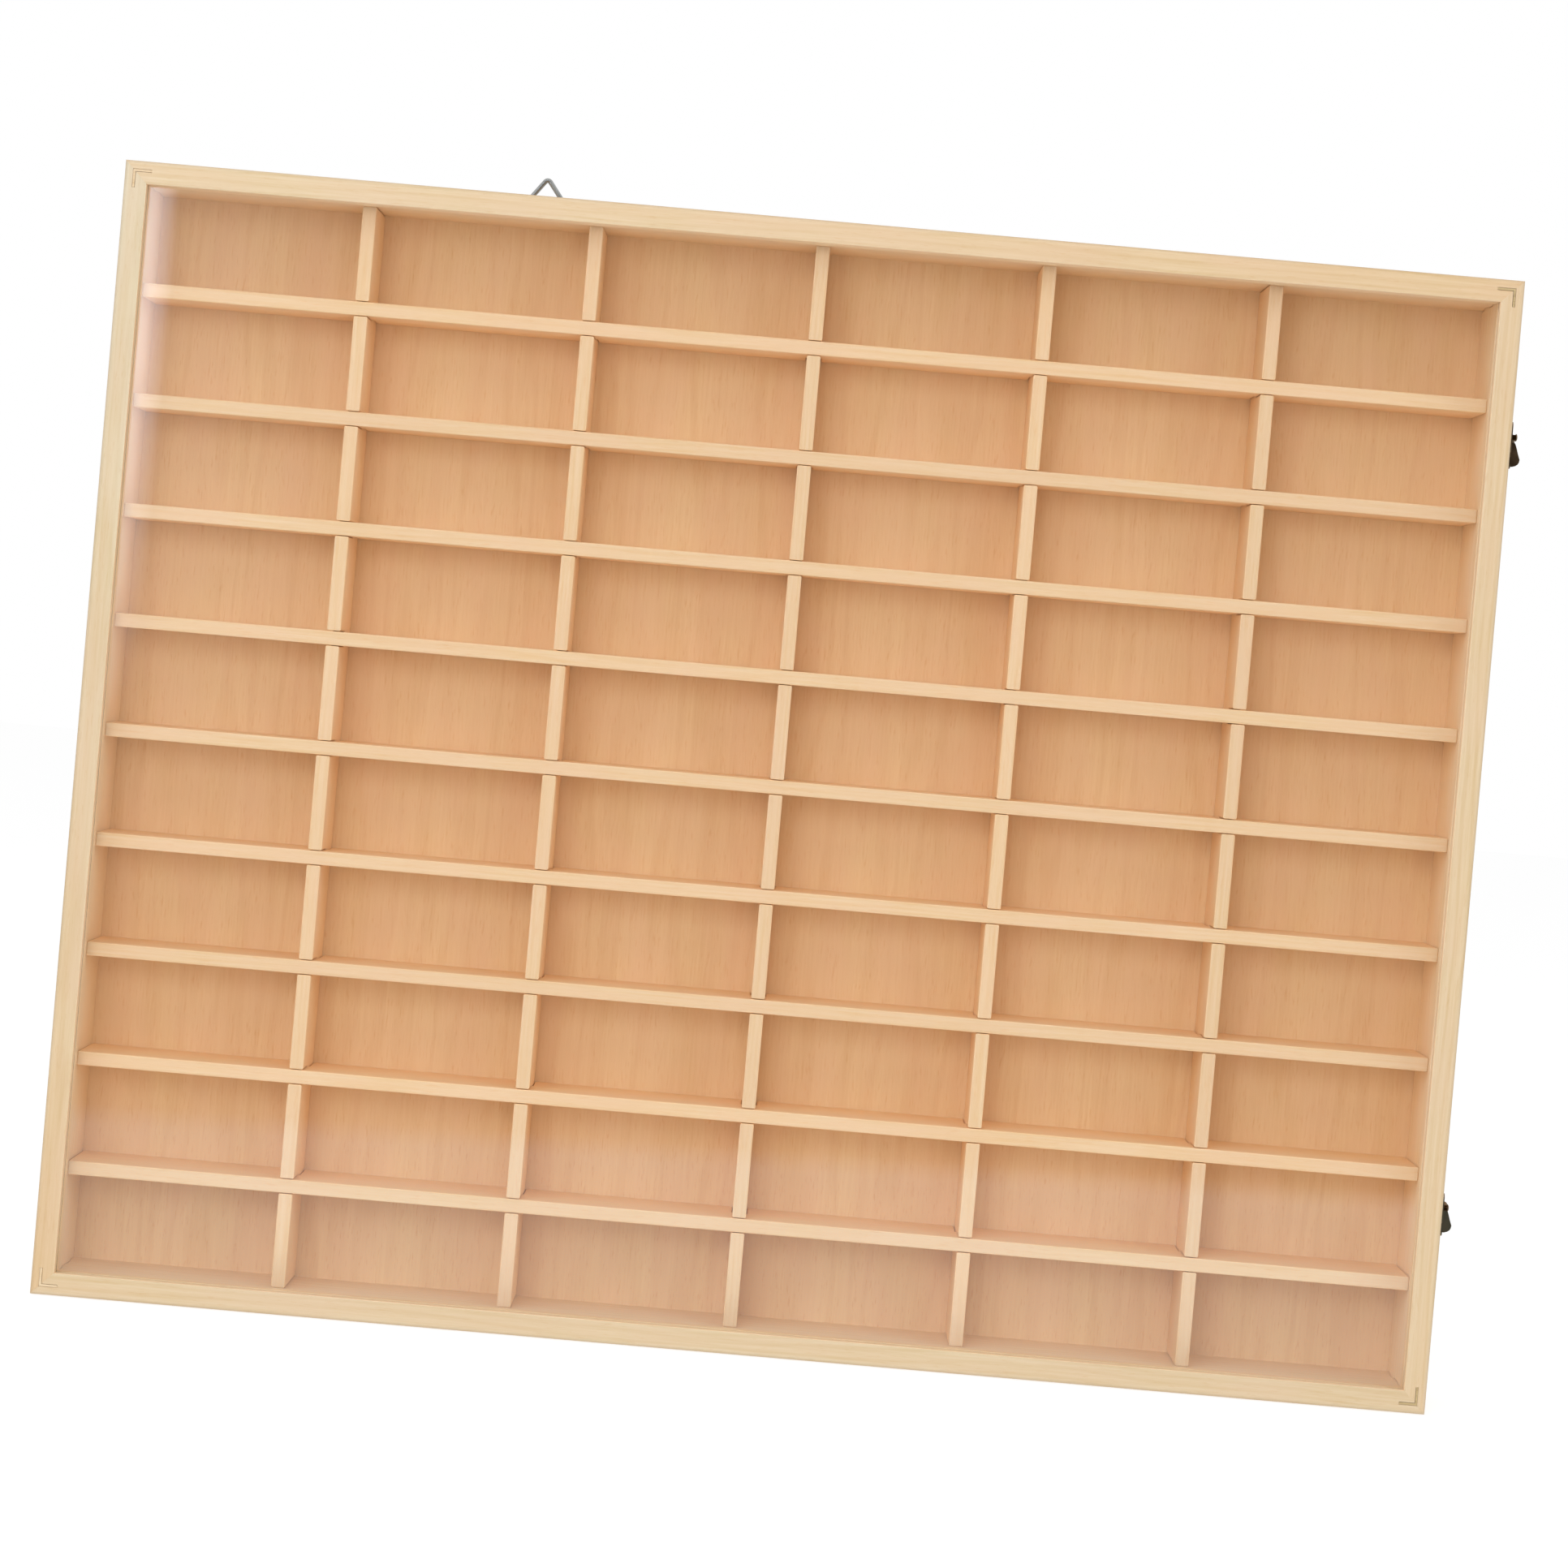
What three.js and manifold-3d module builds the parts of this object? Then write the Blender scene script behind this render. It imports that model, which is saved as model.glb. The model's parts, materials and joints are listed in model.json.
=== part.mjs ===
// Wall display case for small action figures: sixty compartments behind a hinged, glazed door.
// Lengths are millimetres. +X is the viewer's right, -Y is the front and +Z is up.
// The origin is on the underside of the case, at the middle of its width and of its whole depth.

import * as THREE from 'three';
import { mergeVertices } from 'three/addons/utils/BufferGeometryUtils.js';
import Module from 'manifold-3d';

// Compartments and the egg-crate of slats
const columns = 6;
const rows = 10;
const cellWidth = 76.7;
const cellHeight = 34.6;
const slatThickness = 5;
const slatSetback = 1;
const slatEndGap = 0.25;
const lapGap = 0.25;

// Case boards and back panel
const boardThickness = 8;
const boardDepth = 39;
const fingerCount = 4;
const glueGap = 0.1;
const backThickness = 3;
const backGap = 0.15;
const rebateLedge = 3.5;

// Door frame and clear panel
const doorThickness = 12;
const doorInset = 0.4;
const seamGap = 0.6;
const memberWidth = 8.2;
const outerRound = 1.5;
const mitreGap = 0.1;
const panelThickness = 2;
const panelSetback = 4;
const panelGap = 0.15;
const grooveDepth = 3;

// Corner wedges driven into the face of each mitre
const wedgeLeg = 6.5;
const wedgeThickness = 0.8;
const wedgeDepth = 4;
const wedgeInset = 3.1;
const wedgeGap = 0.15;

// Butt hinges let into the left edge
const hingeHeight = 25;
const hingeEndDistance = 62;
const knuckleRadius = 1.5;
const knuckleGap = 0.3;
const pinRadius = 0.7;
const pinGap = 0.15;
const pinHeadRadius = 1.1;
const pinHeadHeight = 0.5;
const leafThickness = 0.8;
const leafReach = 5.4;
const leafSeam = 0.1;
const leafRunningGap = 0.3;
const mortiseGap = 0.15;
const gutterGap = 0.4;
const hingeChamfer = 2.2;
const leafScrewFromEnd = 4.5;
const knuckleCount = 3;

// Hook latches on the right side
const upperLatchBelowTop = 55.8;
const lowerLatchAboveBottom = 74.1;
const latchPlateThickness = 0.8;
const latchPlateWidth = 8.5;
const latchPlateHeight = 12;
const latchPlateRound = 1;
const latchPlateSetback = 0.4;
const pivotSetback = 2.7;
const pivotBelowPlateTop = 4;
const baseScrewEdge = 2.2;
const postRadius = 1;
const postHeadRadius = 1.5;
const postHeadHeight = 1.3;
const hookThickness = 1;
const hookGap = 0.15;
const hookBoreGap = 0.2;
const hookHalfWidth = 2.5;
const hookReach = 8;
const hookLength = 10.8;
const hookTipRound = 1.2;
const slotWidth = 2.9;
const slotLead = 0.2;
const tabThickness = 0.8;
const tabRise = 3.8;
const tabShoulderRise = 2.3;
const tabStart = 0.3;
const tabShoulder = 4;
const tabPeak = 7.2;
const tabEnd = 10;
const catchPlateWidth = 7;
const catchPlateHeight = 10.8;
const catchPlateRound = 2;
const studShankRadius = 0.7;
const studShankLength = 4.5;
const studHeadRadius = 1.4;
const studHeadHeight = 0.6;

// Wall hangers on the back
const hangerFromCentre = 103;
const hangerBelowTop = 3.2;
const strapWidth = 10;
const strapLength = 14;
const strapThickness = 0.8;
const eyeRadius = 1.9;
const eyeBoreRadius = 1.15;
const hangerScrewDrop = 9;
const wireRadius = 0.9;
const ringHalfBase = 11;
const ringBaseAngle = THREE.MathUtils.degToRad(53);
const ringCornerRadius = 1.6;
const ringApexRadius = 1.2;

// Countersunk screws
const leafScrew = { headRadius: 1.5, headDepth: 0.7, shankRadius: 0.75, length: 5, tip: 1.4 };
const plateScrew = { headRadius: 1.4, headDepth: 0.65, shankRadius: 0.7, length: 5, tip: 1.4 };
const hangerScrew = { headRadius: 1.9, headDepth: 0.7, shankRadius: 0.9, length: 3.5, tip: 0.8 };
const screwGap = 0.15;

// Making: how far a cutting block runs past the face that it cuts, and how round things are faceted
const overrun = 1;
const mergeTolerance = 0.0001;
const roundSides = 20;
const knuckleSides = 24;
const wireSides = 10;
const wireSteps = 66;
const arcSteps = 5;

// Overall sizes
const innerWidth = columns * cellWidth + (columns - 1) * slatThickness;
const innerHeight = rows * cellHeight + (rows - 1) * slatThickness;
const caseWidth = innerWidth + 2 * boardThickness;
const caseHeight = innerHeight + 2 * boardThickness;
const wholeDepth = doorThickness + seamGap + boardDepth;

// Planes across the depth, from the front to the wall
const doorFront = -wholeDepth / 2;
const doorBack = doorFront + doorThickness;
const caseFront = doorBack + seamGap;
const wallPlane = caseFront + boardDepth;
const backFront = wallPlane - backThickness;

// Sides of the case and of the door
const caseRight = caseWidth / 2;
const caseLeft = -caseRight;
const doorRight = caseRight - doorInset;
const doorLeft = -doorRight;
const doorBottom = doorInset;
const doorTop = caseHeight - doorInset;
const doorWidth = doorRight - doorLeft;
const doorHeight = doorTop - doorBottom;

// Directions
const X = new THREE.Vector3(1, 0, 0);
const Y = new THREE.Vector3(0, 1, 0);
const Z = new THREE.Vector3(0, 0, 1);

// Finishes
const paleWood = new THREE.MeshStandardMaterial({ color: 0xecd7b5, roughness: 0.62, metalness: 0 });
const slatWood = new THREE.MeshStandardMaterial({ color: 0xe8c99a, roughness: 0.68, metalness: 0 });
const plywood = new THREE.MeshStandardMaterial({ color: 0xd6aa7c, roughness: 0.72, metalness: 0 });
const acrylic = new THREE.MeshStandardMaterial({
  color: 0xf4f8f8,
  roughness: 0.06,
  metalness: 0,
  transparent: true,
  opacity: 0.25,
});
const bronze = new THREE.MeshStandardMaterial({ color: 0x54402e, roughness: 0.42, metalness: 0.9 });
const zinc = new THREE.MeshStandardMaterial({ color: 0x9c9c98, roughness: 0.35, metalness: 0.9 });

const wasm = await Module();
wasm.setup();

const displayCase = new THREE.Group();
displayCase.name = 'figure_display_case';

// Helpers that make, join and cut solids

function toSolid(geometry) {
  const bare = geometry.clone();
  bare.deleteAttribute('normal');
  bare.deleteAttribute('uv');
  const merged = mergeVertices(bare, mergeTolerance);
  return new wasm.Manifold(new wasm.Mesh({
    numProp: 3,
    vertProperties: new Float32Array(merged.attributes.position.array),
    triVerts: new Uint32Array(merged.index.array),
  }));
}

function toGeometry(solid) {
  const mesh = solid.getMesh();
  const geometry = new THREE.BufferGeometry();
  geometry.setAttribute('position', new THREE.BufferAttribute(mesh.vertProperties, 3));
  geometry.setIndex(new THREE.BufferAttribute(mesh.triVerts, 1));
  geometry.computeVertexNormals();
  return geometry;
}

function joined(...geometries) {
  const solids = geometries.map(toSolid);
  return toGeometry(solids.slice(1).reduce((whole, solid) => whole.add(solid), solids[0]));
}

function cut(geometry, cutters) {
  return toGeometry(cutters.map(toSolid).reduce((left, solid) => left.subtract(solid), toSolid(geometry)));
}

function block(xRange, yRange, zRange) {
  const ranges = [xRange, yRange, zRange];
  const [width, depth, height] = ranges.map(([low, high]) => high - low);
  const [x, y, z] = ranges.map(([low, high]) => (low + high) / 2);
  return new THREE.BoxGeometry(width, depth, height).translate(x, y, z);
}

// A flat outline drawn along two directions and given a thickness along the third.
function plate(outline, thickness, across, along) {
  const geometry = new THREE.ExtrudeGeometry(outline, {
    depth: thickness,
    bevelEnabled: false,
    curveSegments: arcSteps,
  });
  const normal = across.clone().cross(along);
  return geometry.applyMatrix4(new THREE.Matrix4().makeBasis(across, along, normal));
}

function outlineOf(points) {
  return new THREE.Shape(points.map(([across, along]) => new THREE.Vector2(across, along)));
}

function roundedOutline(left, bottom, width, height, radius) {
  const right = left + width;
  const top = bottom + height;
  const shape = new THREE.Shape();
  shape.absarc(left + radius, bottom + radius, radius, Math.PI, 1.5 * Math.PI, false);
  shape.absarc(right - radius, bottom + radius, radius, -0.5 * Math.PI, 0, false);
  shape.absarc(right - radius, top - radius, radius, 0, 0.5 * Math.PI, false);
  shape.absarc(left + radius, top - radius, radius, 0.5 * Math.PI, Math.PI, false);
  return shape;
}

// A turned piece: pairs of radius and distance along the axis, which points along `direction`.
function turned(profile, direction, sides = roundSides) {
  const points = profile.map(([radius, along]) => new THREE.Vector2(radius, along));
  const turn = new THREE.Quaternion().setFromUnitVectors(Y, direction);
  return new THREE.LatheGeometry(points, sides).applyQuaternion(turn);
}

function rod(radius, from, to, direction, sides = roundSides) {
  return turned([[0, from], [radius, from], [radius, to], [0, to]], direction, sides);
}

// The outline of a domed head, from its rim to its crown.
function domedHead(radius, from, height) {
  const quarter = new THREE.EllipseCurve(0, from, radius, height, 0, 0.5 * Math.PI);
  const rim = quarter.getPoints(arcSteps).slice(0, -1).map((point) => [point.x, point.y]);
  return [...rim, [0, from + height]];
}

// A countersunk screw: its flat head lies at the origin and it is driven along `direction`.
function screw(size, direction) {
  return turned([
    [0, -size.length],
    [size.shankRadius, size.tip - size.length],
    [size.shankRadius, -size.headDepth],
    [size.headRadius, 0],
    [0, 0],
  ], direction.clone().negate());
}

// The hole that the same screw needs, larger by a clearance and open above the head.
function screwHole(size, direction) {
  return turned([
    [0, -size.length - screwGap],
    [size.shankRadius + screwGap, size.tip - size.length],
    [size.shankRadius + screwGap, -size.headDepth - screwGap],
    [size.headRadius + screwGap, 0],
    [size.headRadius + screwGap, overrun],
    [0, overrun],
  ], direction.clone().negate());
}

function add(name, geometry, material, position = new THREE.Vector3(), parent = displayCase) {
  const mesh = new THREE.Mesh(geometry, material);
  mesh.name = name;
  mesh.position.copy(position);
  parent.add(mesh);
  return mesh;
}

function subassembly(x, y, z) {
  const group = new THREE.Group();
  group.position.set(x, y, z);
  displayCase.add(group);
  return group;
}

// Where the hinges, latches and hangers sit

const hingeAxisX = caseLeft + knuckleRadius;
const seamMiddle = (doorBack + caseFront) / 2;
const hingeLevels = { upper: caseHeight - hingeEndDistance, lower: hingeEndDistance };
const latchLevels = { upper: caseHeight - upperLatchBelowTop, lower: lowerLatchAboveBottom };
const pivotY = caseFront + pivotSetback;
const studY = pivotY - hookReach;
const eyeLevel = caseHeight - hangerBelowTop;

// Hinge sizes that both leaves and both mortises share

const boreRadius = pinRadius + pinGap;
const gutterRadius = knuckleRadius + gutterGap;
const plateStart = knuckleRadius + leafRunningGap;
const tongueStart = boreRadius + leafSeam;
const leafScrewX = (plateStart + leafReach) / 2;
const knuckleLength = (hingeHeight - (knuckleCount - 1) * knuckleGap) / knuckleCount;
const leafFar = leafSeam + leafThickness;

function leafScrewPlaces() {
  const fromMiddle = hingeHeight / 2 - leafScrewFromEnd;
  return [-fromMiddle, fromMiddle];
}

// The hollow that one leaf and the knuckles need; `side` is 1 in the case and -1 in the door.
function hingeMortise(side, level) {
  const half = hingeHeight / 2 + mortiseGap;
  const reach = leafReach + mortiseGap;
  const depth = [-side * overrun, side * (leafFar + mortiseGap)].sort((a, b) => a - b);
  const gutterTop = hingeHeight / 2 + pinHeadHeight + knuckleGap;
  const hollows = [
    block([tongueStart, reach], depth, [-half, half]),
    rod(gutterRadius, -gutterTop, gutterTop, Z, knuckleSides),
    ...leafScrewPlaces().map((z) => screwHole(leafScrew, Y.clone().multiplyScalar(side))
      .translate(leafScrewX, side * leafSeam, z)),
  ];
  return hollows.map((hollow) => hollow.translate(hingeAxisX, seamMiddle, level));
}

// The bevel along the hinge edge that lets the door fold back; `side` as above.
function hingeEdgeBevel(side) {
  const face = side > 0 ? caseFront : doorBack;
  const far = hingeChamfer + overrun;
  const corners = [
    [caseLeft - overrun, face - side * overrun],
    [caseLeft + far, face - side * overrun],
    [caseLeft - overrun, face + side * far],
  ];
  const height = caseHeight + 2 * overrun;
  return plate(outlineOf(side > 0 ? corners : corners.reverse()), height, X, Y).translate(0, 0, -overrun);
}

// Case boards, finger-jointed at the corners

const fingerLength = boardDepth / fingerCount;

// The step along the inner back edges of the boards that takes the back panel.
function backRebate() {
  return block(
    [caseLeft + rebateLedge, caseRight - rebateLedge],
    [backFront, wallPlane + overrun],
    [rebateLedge, caseHeight - rebateLedge],
  );
}

// Fingers owned by the sides are the even ones, counted from the front; the rest belong to top and bottom.
function fingerSlots(parity, xRange, zRange) {
  const slots = [];
  for (let finger = parity; finger < fingerCount; finger += 2) {
    const start = caseFront + finger * fingerLength;
    const front = finger === 0 ? start - overrun : start - glueGap;
    const back = finger === fingerCount - 1 ? start + fingerLength + overrun : start + fingerLength + glueGap;
    slots.push(block(xRange, [front, back], zRange));
  }
  return slots;
}

function flatBoard(bottom) {
  const board = block([caseLeft, caseRight], [caseFront, wallPlane], [bottom, bottom + boardThickness]);
  const through = [bottom - overrun, bottom + boardThickness + overrun];
  const reach = boardThickness + glueGap;
  return cut(board, [
    ...fingerSlots(0, [caseLeft - overrun, caseLeft + reach], through),
    ...fingerSlots(0, [caseRight - reach, caseRight + overrun], through),
    backRebate(),
  ]);
}

function sideBoard(left) {
  const board = block([left, left + boardThickness], [caseFront, wallPlane], [0, caseHeight]);
  const through = [left - overrun, left + boardThickness + overrun];
  const reach = boardThickness + glueGap;
  return cut(board, [
    ...fingerSlots(1, through, [-overrun, reach]),
    ...fingerSlots(1, through, [caseHeight - reach, caseHeight + overrun]),
    backRebate(),
  ]);
}

function latchBaseScrewPlaces() {
  const top = pivotBelowPlateTop - baseScrewEdge;
  const bottom = pivotBelowPlateTop - latchPlateHeight + baseScrewEdge;
  const back = latchPlateSetback - pivotSetback + latchPlateWidth - baseScrewEdge;
  return [[back, top], [back, bottom]];
}

add('case_bottom', flatBoard(0), paleWood);
add('case_top', flatBoard(caseHeight - boardThickness), paleWood);

add('case_left_side', cut(sideBoard(caseLeft), [
  hingeEdgeBevel(1),
  ...Object.values(hingeLevels).flatMap((level) => hingeMortise(1, level)),
]), paleWood);

add('case_right_side', cut(sideBoard(caseRight - boardThickness), Object.values(latchLevels).flatMap(
  (level) => latchBaseScrewPlaces().map(([y, z]) => screwHole(plateScrew, X.clone().negate())
    .translate(caseRight + latchPlateThickness, pivotY + y, level + z)),
)), paleWood);

const hangerPlaces = { left: -hangerFromCentre, right: hangerFromCentre };
const hangerScrewY = wallPlane + strapThickness;
const backEdge = rebateLedge + backGap;
add('back_panel', cut(
  block(
    [caseLeft + backEdge, caseRight - backEdge],
    [backFront, wallPlane],
    [backEdge, caseHeight - backEdge],
  ),
  Object.values(hangerPlaces).map((x) => screwHole(hangerScrew, Y.clone().negate())
    .translate(x, hangerScrewY, eyeLevel - hangerScrewDrop)),
), plywood);

// Slats: shelves run across in front at every crossing and dividers run up behind them

const slatFront = caseFront + slatSetback;
const slatDepth = backFront - slatFront;
const lapDepth = slatDepth / 2 + lapGap / 2;
const notchWidth = slatThickness + 2 * lapGap;

function cellEdge(index, cellSize) {
  return index * cellSize + (index - 1) * slatThickness;
}

// A slat outline with a notch at each place, opening on the edge given by `open`.
function notchedOutline(start, end, places, solidEdge, open) {
  const notchFloor = open + Math.sign(solidEdge - open) * lapDepth;
  const points = [[start, solidEdge], [end, solidEdge], [end, open]];
  for (const place of places.slice().reverse()) {
    points.push([place + notchWidth / 2, open]);
    points.push([place + notchWidth / 2, notchFloor]);
    points.push([place - notchWidth / 2, notchFloor]);
    points.push([place - notchWidth / 2, open]);
  }
  points.push([start, open]);
  return outlineOf(points);
}

const dividerCentres = Array.from({ length: columns - 1 },
  (_, index) => caseLeft + boardThickness + cellEdge(index + 1, cellWidth) + slatThickness / 2);
const shelfCentres = Array.from({ length: rows - 1 },
  (_, index) => boardThickness + cellEdge(index + 1, cellHeight) + slatThickness / 2);

const shelfShape = plate(notchedOutline(
  caseLeft + boardThickness + slatEndGap,
  caseRight - boardThickness - slatEndGap,
  dividerCentres,
  slatFront,
  backFront,
), slatThickness, X, Y);

const dividerShape = plate(notchedOutline(
  boardThickness + slatEndGap,
  caseHeight - boardThickness - slatEndGap,
  shelfCentres,
  backFront,
  slatFront,
), slatThickness, Z, Y);

shelfCentres.forEach((level, index) => {
  add(`shelf_${index + 1}`, shelfShape, slatWood, new THREE.Vector3(0, 0, level - slatThickness / 2));
});
dividerCentres.forEach((x, index) => {
  add(`divider_${index + 1}`, dividerShape, slatWood, new THREE.Vector3(x + slatThickness / 2, 0, 0));
});

// Door frame: one grooved section, mitred at both ends, then let in for wedges, hinges and latches

const grooveWidth = panelThickness + 2 * panelGap;
const wedgeTurns = [
  { name: 'bottom_left', x: doorLeft, z: doorBottom, turn: 0 },
  { name: 'top_left', x: doorLeft, z: doorTop, turn: Math.PI / 2 },
  { name: 'top_right', x: doorRight, z: doorTop, turn: Math.PI },
  { name: 'bottom_right', x: doorRight, z: doorBottom, turn: 1.5 * Math.PI },
];

function memberSection() {
  const groove = doorFront + panelSetback;
  const grooveFloor = memberWidth - grooveDepth;
  const section = new THREE.Shape();
  section.absarc(outerRound, doorFront + outerRound, outerRound, Math.PI, 1.5 * Math.PI, false);
  section.lineTo(memberWidth, doorFront);
  section.lineTo(memberWidth, groove);
  section.lineTo(grooveFloor, groove);
  section.lineTo(grooveFloor, groove + grooveWidth);
  section.lineTo(memberWidth, groove + grooveWidth);
  section.lineTo(memberWidth, doorBack);
  section.lineTo(0, doorBack);
  return section;
}

// The section runs inward from the outer edge, so each end steps in by as much as its mitre needs.
function mitredMember(length, corner, inward) {
  const unitLength = 1;
  const geometry = new THREE.ExtrudeGeometry(memberSection(), {
    depth: unitLength,
    bevelEnabled: false,
    curveSegments: arcSteps,
  });
  const places = geometry.attributes.position;
  for (let index = 0; index < places.count; index += 1) {
    const stepIn = places.getX(index) + mitreGap;
    places.setZ(index, places.getZ(index) < unitLength / 2 ? stepIn : length - stepIn);
  }
  const along = inward.clone().cross(Y);
  return geometry.applyMatrix4(new THREE.Matrix4().makeBasis(inward, Y, along).setPosition(corner));
}

// An L of thin steel, drawn from the outer corner of the frame inward.
function wedge(grow = 0) {
  const near = wedgeInset - grow;
  const heel = wedgeInset + wedgeThickness + grow;
  const far = wedgeInset + wedgeLeg + grow;
  const outline = outlineOf([[near, near], [near, far], [heel, far], [heel, heel], [far, heel], [far, near]]);
  const depth = wedgeDepth + grow + (grow > 0 ? overrun : 0);
  return plate(outline, depth, Z, X).translate(0, doorFront + wedgeDepth + grow - depth, 0);
}

function wedgeSlots() {
  return wedgeTurns.map(({ x, z, turn }) => wedge(wedgeGap).rotateY(turn).translate(x, 0, z));
}

function studScrew(grow = 0) {
  const headStart = latchPlateThickness + doorInset + hookGap + hookThickness + hookGap;
  return turned([
    [0, -studShankLength - grow],
    [studShankRadius + grow, -studShankLength + plateScrew.tip],
    [studShankRadius + grow, latchPlateThickness],
    [postRadius, latchPlateThickness],
    [postRadius, headStart],
    ...domedHead(studHeadRadius, headStart, studHeadHeight),
  ], X);
}

const doorCorner = (x, z) => new THREE.Vector3(x, 0, z);
const studHoles = Object.values(latchLevels).map(
  (level) => studScrew(screwGap).translate(doorRight, studY, level),
);

add('door_bottom_rail', cut(mitredMember(doorWidth, doorCorner(doorRight, doorBottom), Z), [
  hingeEdgeBevel(-1),
  ...wedgeSlots(),
]), paleWood);
add('door_top_rail', cut(mitredMember(doorWidth, doorCorner(doorLeft, doorTop), Z.clone().negate()), [
  hingeEdgeBevel(-1),
  ...wedgeSlots(),
]), paleWood);
add('door_left_stile', cut(mitredMember(doorHeight, doorCorner(doorLeft, doorBottom), X), [
  hingeEdgeBevel(-1),
  ...wedgeSlots(),
  ...Object.values(hingeLevels).flatMap((level) => hingeMortise(-1, level)),
]), paleWood);
add('door_right_stile', cut(mitredMember(doorHeight, doorCorner(doorRight, doorTop), X.clone().negate()), [
  ...wedgeSlots(),
  ...studHoles,
]), paleWood);

const panelEdge = memberWidth - grooveDepth + panelGap;
const panelFront = doorFront + panelSetback + panelGap;
add('door_clear_panel', block(
  [doorLeft + panelEdge, doorRight - panelEdge],
  [panelFront, panelFront + panelThickness],
  [doorBottom + panelEdge, doorTop - panelEdge],
), acrylic);

for (const { name, x, z, turn } of wedgeTurns) {
  const piece = add(`corner_wedge_${name}`, wedge(), zinc, doorCorner(x, z));
  piece.rotation.y = turn;
}

// Hinges: the case leaf carries the two outer knuckles and the door leaf the middle one

function knuckle(from, to) {
  return cut(rod(knuckleRadius, from, to, Z, knuckleSides), [
    rod(boreRadius, from - overrun, to + overrun, Z, knuckleSides),
  ]);
}

function hingeLeaf(side, stretches) {
  const half = hingeHeight / 2;
  const thickness = [side * leafSeam, side * leafFar].sort((a, b) => a - b);
  const leaf = joined(
    block([plateStart, leafReach], thickness, [-half, half]),
    ...stretches.flatMap(([from, to]) => [
      block([tongueStart, plateStart + leafThickness], thickness, [from, to]),
      knuckle(from, to),
    ]),
  );
  return cut(leaf, leafScrewPlaces().map((z) => screwHole(leafScrew, Y.clone().multiplyScalar(side))
    .translate(leafScrewX, side * leafSeam, z)));
}

function hingePin() {
  const half = hingeHeight / 2;
  return turned([
    [0, -half],
    [pinRadius, -half],
    [pinRadius, half],
    [pinHeadRadius, half],
    [pinHeadRadius, half + pinHeadHeight / 2],
    [pinRadius, half + pinHeadHeight],
    [0, half + pinHeadHeight],
  ], Z, knuckleSides);
}

const halfMiddle = knuckleLength / 2;
const outerStretches = [
  [-hingeHeight / 2, -halfMiddle - knuckleGap],
  [halfMiddle + knuckleGap, hingeHeight / 2],
];

for (const [place, level] of Object.entries(hingeLevels)) {
  const hinge = subassembly(hingeAxisX, seamMiddle, level);
  add(`hinge_${place}_case_leaf`, hingeLeaf(1, outerStretches), bronze, undefined, hinge);
  add(`hinge_${place}_door_leaf`, hingeLeaf(-1, [[-halfMiddle, halfMiddle]]), bronze, undefined, hinge);
  add(`hinge_${place}_pin`, hingePin(), bronze, undefined, hinge);
  leafScrewPlaces().forEach((z, index) => {
    const inCase = new THREE.Vector3(leafScrewX, leafSeam, z);
    const inDoor = new THREE.Vector3(leafScrewX, -leafSeam, z);
    const backward = Y.clone().negate();
    add(`hinge_${place}_case_screw_${index + 1}`, screw(leafScrew, Y), bronze, inCase, hinge);
    add(`hinge_${place}_door_screw_${index + 1}`, screw(leafScrew, backward), bronze, inDoor, hinge);
  });
}

// Latches: a hook turns on a riveted base on the case and drops over a stud on the door

const hookInner = latchPlateThickness + hookGap;
const hookOuter = hookInner + hookThickness;
const postHeadInner = hookOuter + hookGap;

function latchBase() {
  const outline = roundedOutline(
    latchPlateSetback - pivotSetback,
    pivotBelowPlateTop - latchPlateHeight,
    latchPlateWidth,
    latchPlateHeight,
    latchPlateRound,
  );
  const rivet = turned([
    [0, latchPlateThickness / 2],
    [postRadius, latchPlateThickness / 2],
    [postRadius, postHeadInner],
    ...domedHead(postHeadRadius, postHeadInner, postHeadHeight),
  ], X);
  return cut(joined(plate(outline, latchPlateThickness, Y, Z), rivet), latchBaseScrewPlaces().map(
    ([y, z]) => screwHole(plateScrew, X.clone().negate()).translate(latchPlateThickness, y, z),
  ));
}

// The hook hangs straight down when it is off its stud; its slot opens to the front.
// Its back edge is turned outward into a curved tab for the thumb.
function latchHook() {
  const slotTop = -hookReach + slotWidth / 2;
  const slotBottom = -hookReach - slotWidth / 2;
  const outline = new THREE.Shape();
  outline.absarc(0, 0, hookHalfWidth, 0, Math.PI, false);
  outline.lineTo(-hookHalfWidth, slotTop);
  outline.lineTo(-slotLead, slotTop);
  outline.absarc(-slotLead, -hookReach, slotWidth / 2, 0.5 * Math.PI, -0.5 * Math.PI, true);
  outline.lineTo(-hookHalfWidth, slotBottom);
  const tipAcross = hookHalfWidth - hookTipRound;
  const tipAlong = hookTipRound - hookLength;
  outline.absarc(-tipAcross, tipAlong, hookTipRound, Math.PI, 1.5 * Math.PI);
  outline.absarc(tipAcross, tipAlong, hookTipRound, -0.5 * Math.PI, 0);
  const hole = new THREE.Path();
  hole.absarc(0, 0, postRadius + hookBoreGap, 0, 2 * Math.PI, false);
  outline.holes.push(hole);
  const tabTop = hookOuter + tabRise;
  const shoulder = hookOuter + tabShoulderRise;
  const tab = new THREE.Shape();
  tab.moveTo(-tabEnd, hookInner);
  tab.lineTo(-tabStart, hookInner);
  tab.lineTo(-tabStart, hookOuter);
  tab.bezierCurveTo(-tabStart, shoulder, -tabShoulder, shoulder, -tabPeak, tabTop);
  tab.quadraticCurveTo(-tabEnd, tabTop, -tabEnd, hookOuter);
  return joined(
    plate(outline, hookThickness, Y, Z).translate(hookInner, 0, 0),
    plate(tab, tabThickness, Z, X).translate(0, hookHalfWidth - tabThickness, 0),
  );
}

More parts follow.
